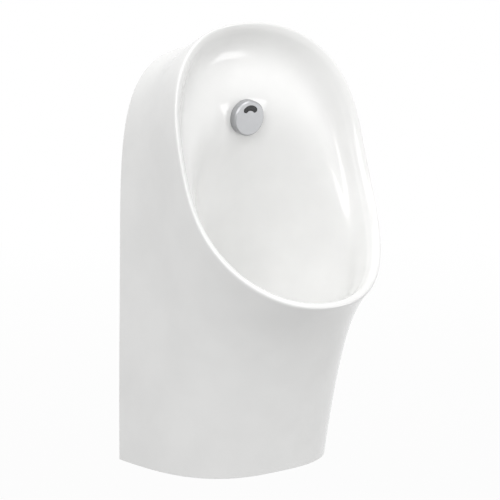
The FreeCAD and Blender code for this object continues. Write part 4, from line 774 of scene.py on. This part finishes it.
# %% [markdown]
# ### Plastics and rubber
# Traps and pipes are extruded or moulded polypropylene: waxy, a little translucent, with a faint
# spark-eroded grain.  Rubber is matt black EPDM with a dusty bloom.  The spray cap is ABS under
# a satin grey lacquer with fine metal flake, which makes its face shade from light to dark.  A
# plain grey plastic would stay one grey, so the lacquer is given some metal.  Its flake is far
# finer than a pixel and is drawn at a third of a millimetre.

# %% Plastics and rubber
plastics = {
    "white_polypropylene": finish("white_polypropylene", ("#E6E6E2", "#EEEEEB"), 40, (0.36, 0.48), 1.2,
                                  0.02, **{"Subsurface Weight": 0.1, "Subsurface Scale": 0.002}),
    "grey_polypropylene": finish("grey_moulded_polypropylene", ("#83878A", "#909496"), 35, (0.42, 0.55),
                                 0.9, 0.03),
    "black_polyamide": finish("glass_filled_black_polyamide", ("#1C1D1F", "#26272A"), 12, (0.5, 0.64),
                              0.7, 0.03),
    "black_rubber": finish("black_epdm_rubber", ("#17181A", "#242527"), 18, (0.68, 0.82), 0.8, 0.04),
    "grey_rubber": finish("grey_sealing_rubber", ("#55585B", "#63666A"), 18, (0.62, 0.76), 0.8, 0.04),
    "satin_grey_abs": finish("satin_grey_lacquer_on_abs", ("#A9AAAC", "#AFB0B2"), 25, (0.34, 0.4), 0.35,
                             0.004, Metallic=0.55),
    "smoked_window": finish("smoked_acrylic_window", ("#0B0C0E", "#121316"), 6, (0.08, 0.14), 5, 0.004,
                            **{"Coat Weight": 0.3, "Coat Roughness": 0.05}),
}
print("plastics:", sorted(plastics))

# %% [markdown]
# ### Boards and cells
# The control electronics are hidden, but a cut-away view shows them: green solder mask with
# copper tracks under it, and cells in a printed film with a coloured band at the plus end.  The
# tracks could be thin strips of mesh, but nobody comes that near, so a brick pattern's mortar
# draws them.

# %% Board
TRACK_ROW = 1.8
BRICK_ROWS = 4.0


def circuit_board():
    """Solder mask over tracks: the mortar of a brick pattern gives lighter lines of copper."""
    material = finish("green_solder_mask", ("#0F4A2A", "#155C35"), 20, (0.28, 0.36), 1.5, 0.01)
    tree = material.node_tree
    surface = tree.nodes["Principled BSDF"]
    place = add(tree, "ShaderNodeMapping", {"Vector": add(tree, "ShaderNodeTexCoord", output="Object"),
                                            "Rotation": (math.radians(90), 0, math.radians(45))})
    tracks = add(tree, "ShaderNodeTexBrick", {"Vector": place, "Color1": srgb("#0F4A2A"),
                                              "Color2": srgb("#135532"), "Mortar": srgb("#3C8A5A"),
                                              "Scale": 1000 / (BRICK_ROWS * TRACK_ROW), "Mortar Size": 0.035})
    tree.links.new(tracks, surface.inputs["Base Color"])
    return material


board = circuit_board()
print("tracks every", TRACK_ROW, "mm on", board.name)

# %% Cells
BAND_FOOT, BAND_EDGE = 13.5, 0.5


def cell_film():
    """Printed film: a copper coloured band at the plus end, black below, by height."""
    material = finish("printed_cell_film", ("#1A1B1E", "#222428"), 20, (0.22, 0.3), 4, 0.006)
    tree = material.node_tree
    surface = tree.nodes["Principled BSDF"]
    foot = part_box("battery_cells")[1].z - BAND_FOOT * MM
    height = add(tree, "ShaderNodeSeparateXYZ", {0: add(tree, "ShaderNodeTexCoord", output="Object")},
                 output="Z")
    band = add(tree, "ShaderNodeMapRange", {"Value": height, "From Min": foot,
                                            "From Max": foot + BAND_EDGE * MM})
    colour = add(tree, "ShaderNodeMix", {0: band, 6: srgb("#1D1E21"), 7: srgb("#B87A3D")},
                 output=2, data_type="RGBA")
    tree.links.new(colour, surface.inputs["Base Color"])
    return material


film = cell_film()
print("a band of", BAND_FOOT, "mm on", film.name)

# %% [markdown]
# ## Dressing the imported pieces
# The pieces behind the china are turned, bent and moulded parts.  They could all be made again
# here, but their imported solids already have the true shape, so they keep it.  Each gets the
# finish that its slot in the record names.

# %% Every other piece gets its finish
BY_SLOT = {"galvanised_steel": zinc, "nickel_brass": nickel, "bare_brass": brass,
           "stainless_steel": stainless, "circuit_board": board, "cell_wrap": film,
           "vitreous_china": glaze, **plastics}
SLOT_OF = {entry["node"]: entry["material_slot"] for entry in frame["record"]["subparts"]}
for name, piece in frame["nodes"].items():
    piece.data.materials.clear()
    piece.data.materials.append(BY_SLOT[SLOT_OF[name]])
print("dressed:", len(frame["nodes"]), "nodes in", len(set(SLOT_OF.values())), "finishes")

# %% [markdown]
# ## The plunger's spring
# The plunger's spring is wound again here as its own mesh: round wire on a helix, with a closed turn
# at each end, as a compression spring has them.  A bevelled curve would make the wire too, but the
# helix is a formula, so the wire is one more grid, like the china's. The spring then flattens towards its
# fixed end by the stroke of
# the plunger.

# %% Wire on a helix
SPRING_TURNS, TURN_ROWS, WIRE_RADIUS, WIRE_COLUMNS = 6, 40, 0.4, 12


def wire_spring(name, low, high):
    """Helix axis + R (cos t, sin t) that carries a ring of wire.  The end turns rise by one
    thickness of wire, the turns between them evenly, and each end closes to a pole."""
    wire = WIRE_RADIUS * MM
    turn = np.linspace(0, SPRING_TURNS, TURN_ROWS * SPRING_TURNS + 1)
    rise = np.interp(turn, [0, 1, SPRING_TURNS - 1, SPRING_TURNS],
                     [low[2] + wire, low[2] + 3 * wire, high[2] - 3 * wire, high[2] - wire])
    angle, rise = 2 * math.pi * np.pad(turn, 1, "edge")[:, None], np.pad(rise, 1, "edge")[:, None]
    thick = np.full(angle.shape, wire)
    thick[[0, -1]] = 0
    around = np.linspace(0, 2 * math.pi, WIRE_COLUMNS, endpoint=False)
    middle, radius = (low + high) / 2, (high[0] - low[0]) / 2 - wire + thick * np.cos(around)
    points = np.stack([middle[0] + radius * np.cos(angle), middle[1] + radius * np.sin(angle),
                       rise + thick * np.sin(around)], -1)
    spring = mesh_object(name, points, grid_faces(*points.shape[:2])[:-WIRE_COLUMNS], True, False)
    spring.modifiers.new("poles", "WELD").merge_threshold = 0.001 * MM
    apply_modifiers(spring)
    return spring


low, high = map(np.array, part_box("plunger_spring"))
spring = wire_spring("valve_spring", low, high)
print("spring:", len(spring.data.polygons), "faces,", round(volume_of(spring) * 1e6, 1), "cubic mm of wire")

# %% Spring on the root body
spring.data.materials.append(stainless)
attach(spring, "root")
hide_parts("plunger_spring")
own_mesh(spring)

# %% [markdown]
# ## Camera
# The camera stands where the photographer's did: 36 degrees to the left, a little above, with a
# long lens.  It could be aimed by a constraint, but a place and a turn worked out from two
# angles say plainly where it is.

# %% Camera
AZIMUTH, ELEVATION, DISTANCE = math.radians(-36.0), math.radians(10.333), 2760.4
IMAGE, FOCAL, CENTRE = 500.0, 1909.47, (263.664, 248.438)
SENSOR = 36.0
target = Vector(at(0.0, 150.0, 325.0))
back = Vector((math.sin(AZIMUTH) * math.cos(ELEVATION), -math.cos(AZIMUTH) * math.cos(ELEVATION),
               math.sin(ELEVATION)))
camera = bpy.data.objects.new("camera", bpy.data.cameras.new("camera"))
bpy.context.scene.collection.objects.link(camera)
camera.location = target + back * DISTANCE * MM
camera.rotation_euler = (-back).to_track_quat("-Z", "Y").to_euler()
camera.data.sensor_width = SENSOR
camera.data.lens = FOCAL * SENSOR / IMAGE
camera.data.shift_x = (IMAGE / 2 - CENTRE[0]) / IMAGE
camera.data.shift_y = (CENTRE[1] - IMAGE / 2) / IMAGE
bpy.context.scene.camera = camera
print("lens", round(camera.data.lens, 1), "mm at", [round(v, 3) for v in camera.location])

# %% [markdown]
# ## Floor
# The floor lies where a wall hung urinal has it, about 380 mm below the bottom edge, so the
# object hangs free of it and its shadow falls mostly below the picture.  A white floor would
# throw too much light up under the lip, so the paint is a pale grey.  Seen straight or in a
# mirror it is mostly plain white, and wholly so a few metres away, so it has no horizon.

# %% Floor
FLOOR_DROP, FLOOR_HALF = 383.0, 6000.0
floor_points = at(np.array([-1, 1, 1, -1]) * FLOOR_HALF, np.array([1, 1, -1, -1]) * FLOOR_HALF, -FLOOR_DROP)
floor_mesh = bpy.data.meshes.new("floor")
floor_mesh.from_pydata(floor_points, [], [(0, 1, 2, 3)])
floor = bpy.data.objects.new("floor", floor_mesh)
bpy.context.scene.collection.objects.link(floor)
print("floor at z =", round(floor_points[0, 2], 3))

# %% Floor paint
WHITE_NEAR, NEAR, FAR = 0.95, 1.2, 4.0


def straight_rays(tree):
    """1 for rays that come from the camera, a mirror or a glass, 0 for the ones that light."""
    rays = add(tree, "ShaderNodeLightPath", output=None).outputs
    either = add(tree, "ShaderNodeMath", {0: rays["Is Camera Ray"], 1: rays["Is Glossy Ray"]},
                 operation="MAXIMUM")
    return add(tree, "ShaderNodeMath", {0: either, 1: rays["Is Transmission Ray"]}, operation="MAXIMUM")


pale = finish("pale_studio_floor", ("#BEBEBE", "#C6C6C6"), 400, (0.7, 0.8), 3, 0.01)
tree = pale.node_tree
reach = add(tree, "ShaderNodeVectorMath", {0: add(tree, "ShaderNodeTexCoord", output="Object")},
            output="Value", operation="LENGTH")
fade = add(tree, "ShaderNodeMapRange", {"Value": reach, "From Min": NEAR, "From Max": FAR,
                                        "To Min": WHITE_NEAR, "To Max": 1.0})
share = add(tree, "ShaderNodeMath", {0: straight_rays(tree), 1: fade}, operation="MULTIPLY")
white = add(tree, "ShaderNodeEmission", {"Color": srgb("#FFFFFF"), "Strength": 1.0})
mix = add(tree, "ShaderNodeMixShader", {0: share, 1: tree.nodes["Principled BSDF"].outputs[0], 2: white})
tree.links.new(mix, tree.nodes["Material Output"].inputs["Surface"])
floor.data.materials.append(pale)
print("floor paint:", pale.name, "whole white from", FAR, "m")

# %% [markdown]
# ## Light
# White china is lit by large soft boxes, because every small lamp would stand in its glaze as a
# hard spot.  The world gives an even base, brighter for straight rays only, so the picture's
# ground is white.  The key box stands at the left front, the high one in front, the fill low at
# the right, and a weak one above the back keeps the crown from going grey.

# %% World
WORLD_LIGHT = 0.49
world = bpy.data.worlds.new("studio")
bpy.context.scene.world = world
world.use_nodes = True
tree = world.node_tree
tree.nodes.clear()
level = add(tree, "ShaderNodeMapRange", {"Value": straight_rays(tree), "To Min": WORLD_LIGHT, "To Max": 1.0})
sky = add(tree, "ShaderNodeBackground", {"Color": srgb("#FFFFFF"), "Strength": level})
add(tree, "ShaderNodeOutputWorld", {"Surface": sky}, output=None)
print("world light:", WORLD_LIGHT)


# %% Lamps
def softbox(name, place, size, power):
    """A square area lamp at a place, facing the middle of the object, in metres and watts."""
    lamp = bpy.data.objects.new(name, bpy.data.lights.new(name, "AREA"))
    bpy.context.scene.collection.objects.link(lamp)
    lamp.data.size, lamp.data.energy = size, power
    lamp.location = place
    lamp.rotation_euler = (target - Vector(place)).to_track_quat("-Z", "Y").to_euler()
    print("softbox", name, "of", size, "m with", power, "W")


softbox("key", (-2.1, -1.6, 1.4), 1.8, 35)
softbox("high", (0.4, -2.0, 2.6), 2.0, 35)
softbox("fill", (1.9, -2.2, -0.35), 1.0, 12)
softbox("top", (-0.6, 0.3, 2.3), 1.4, 9)
bpy.context.scene.view_settings.view_transform = "Standard"
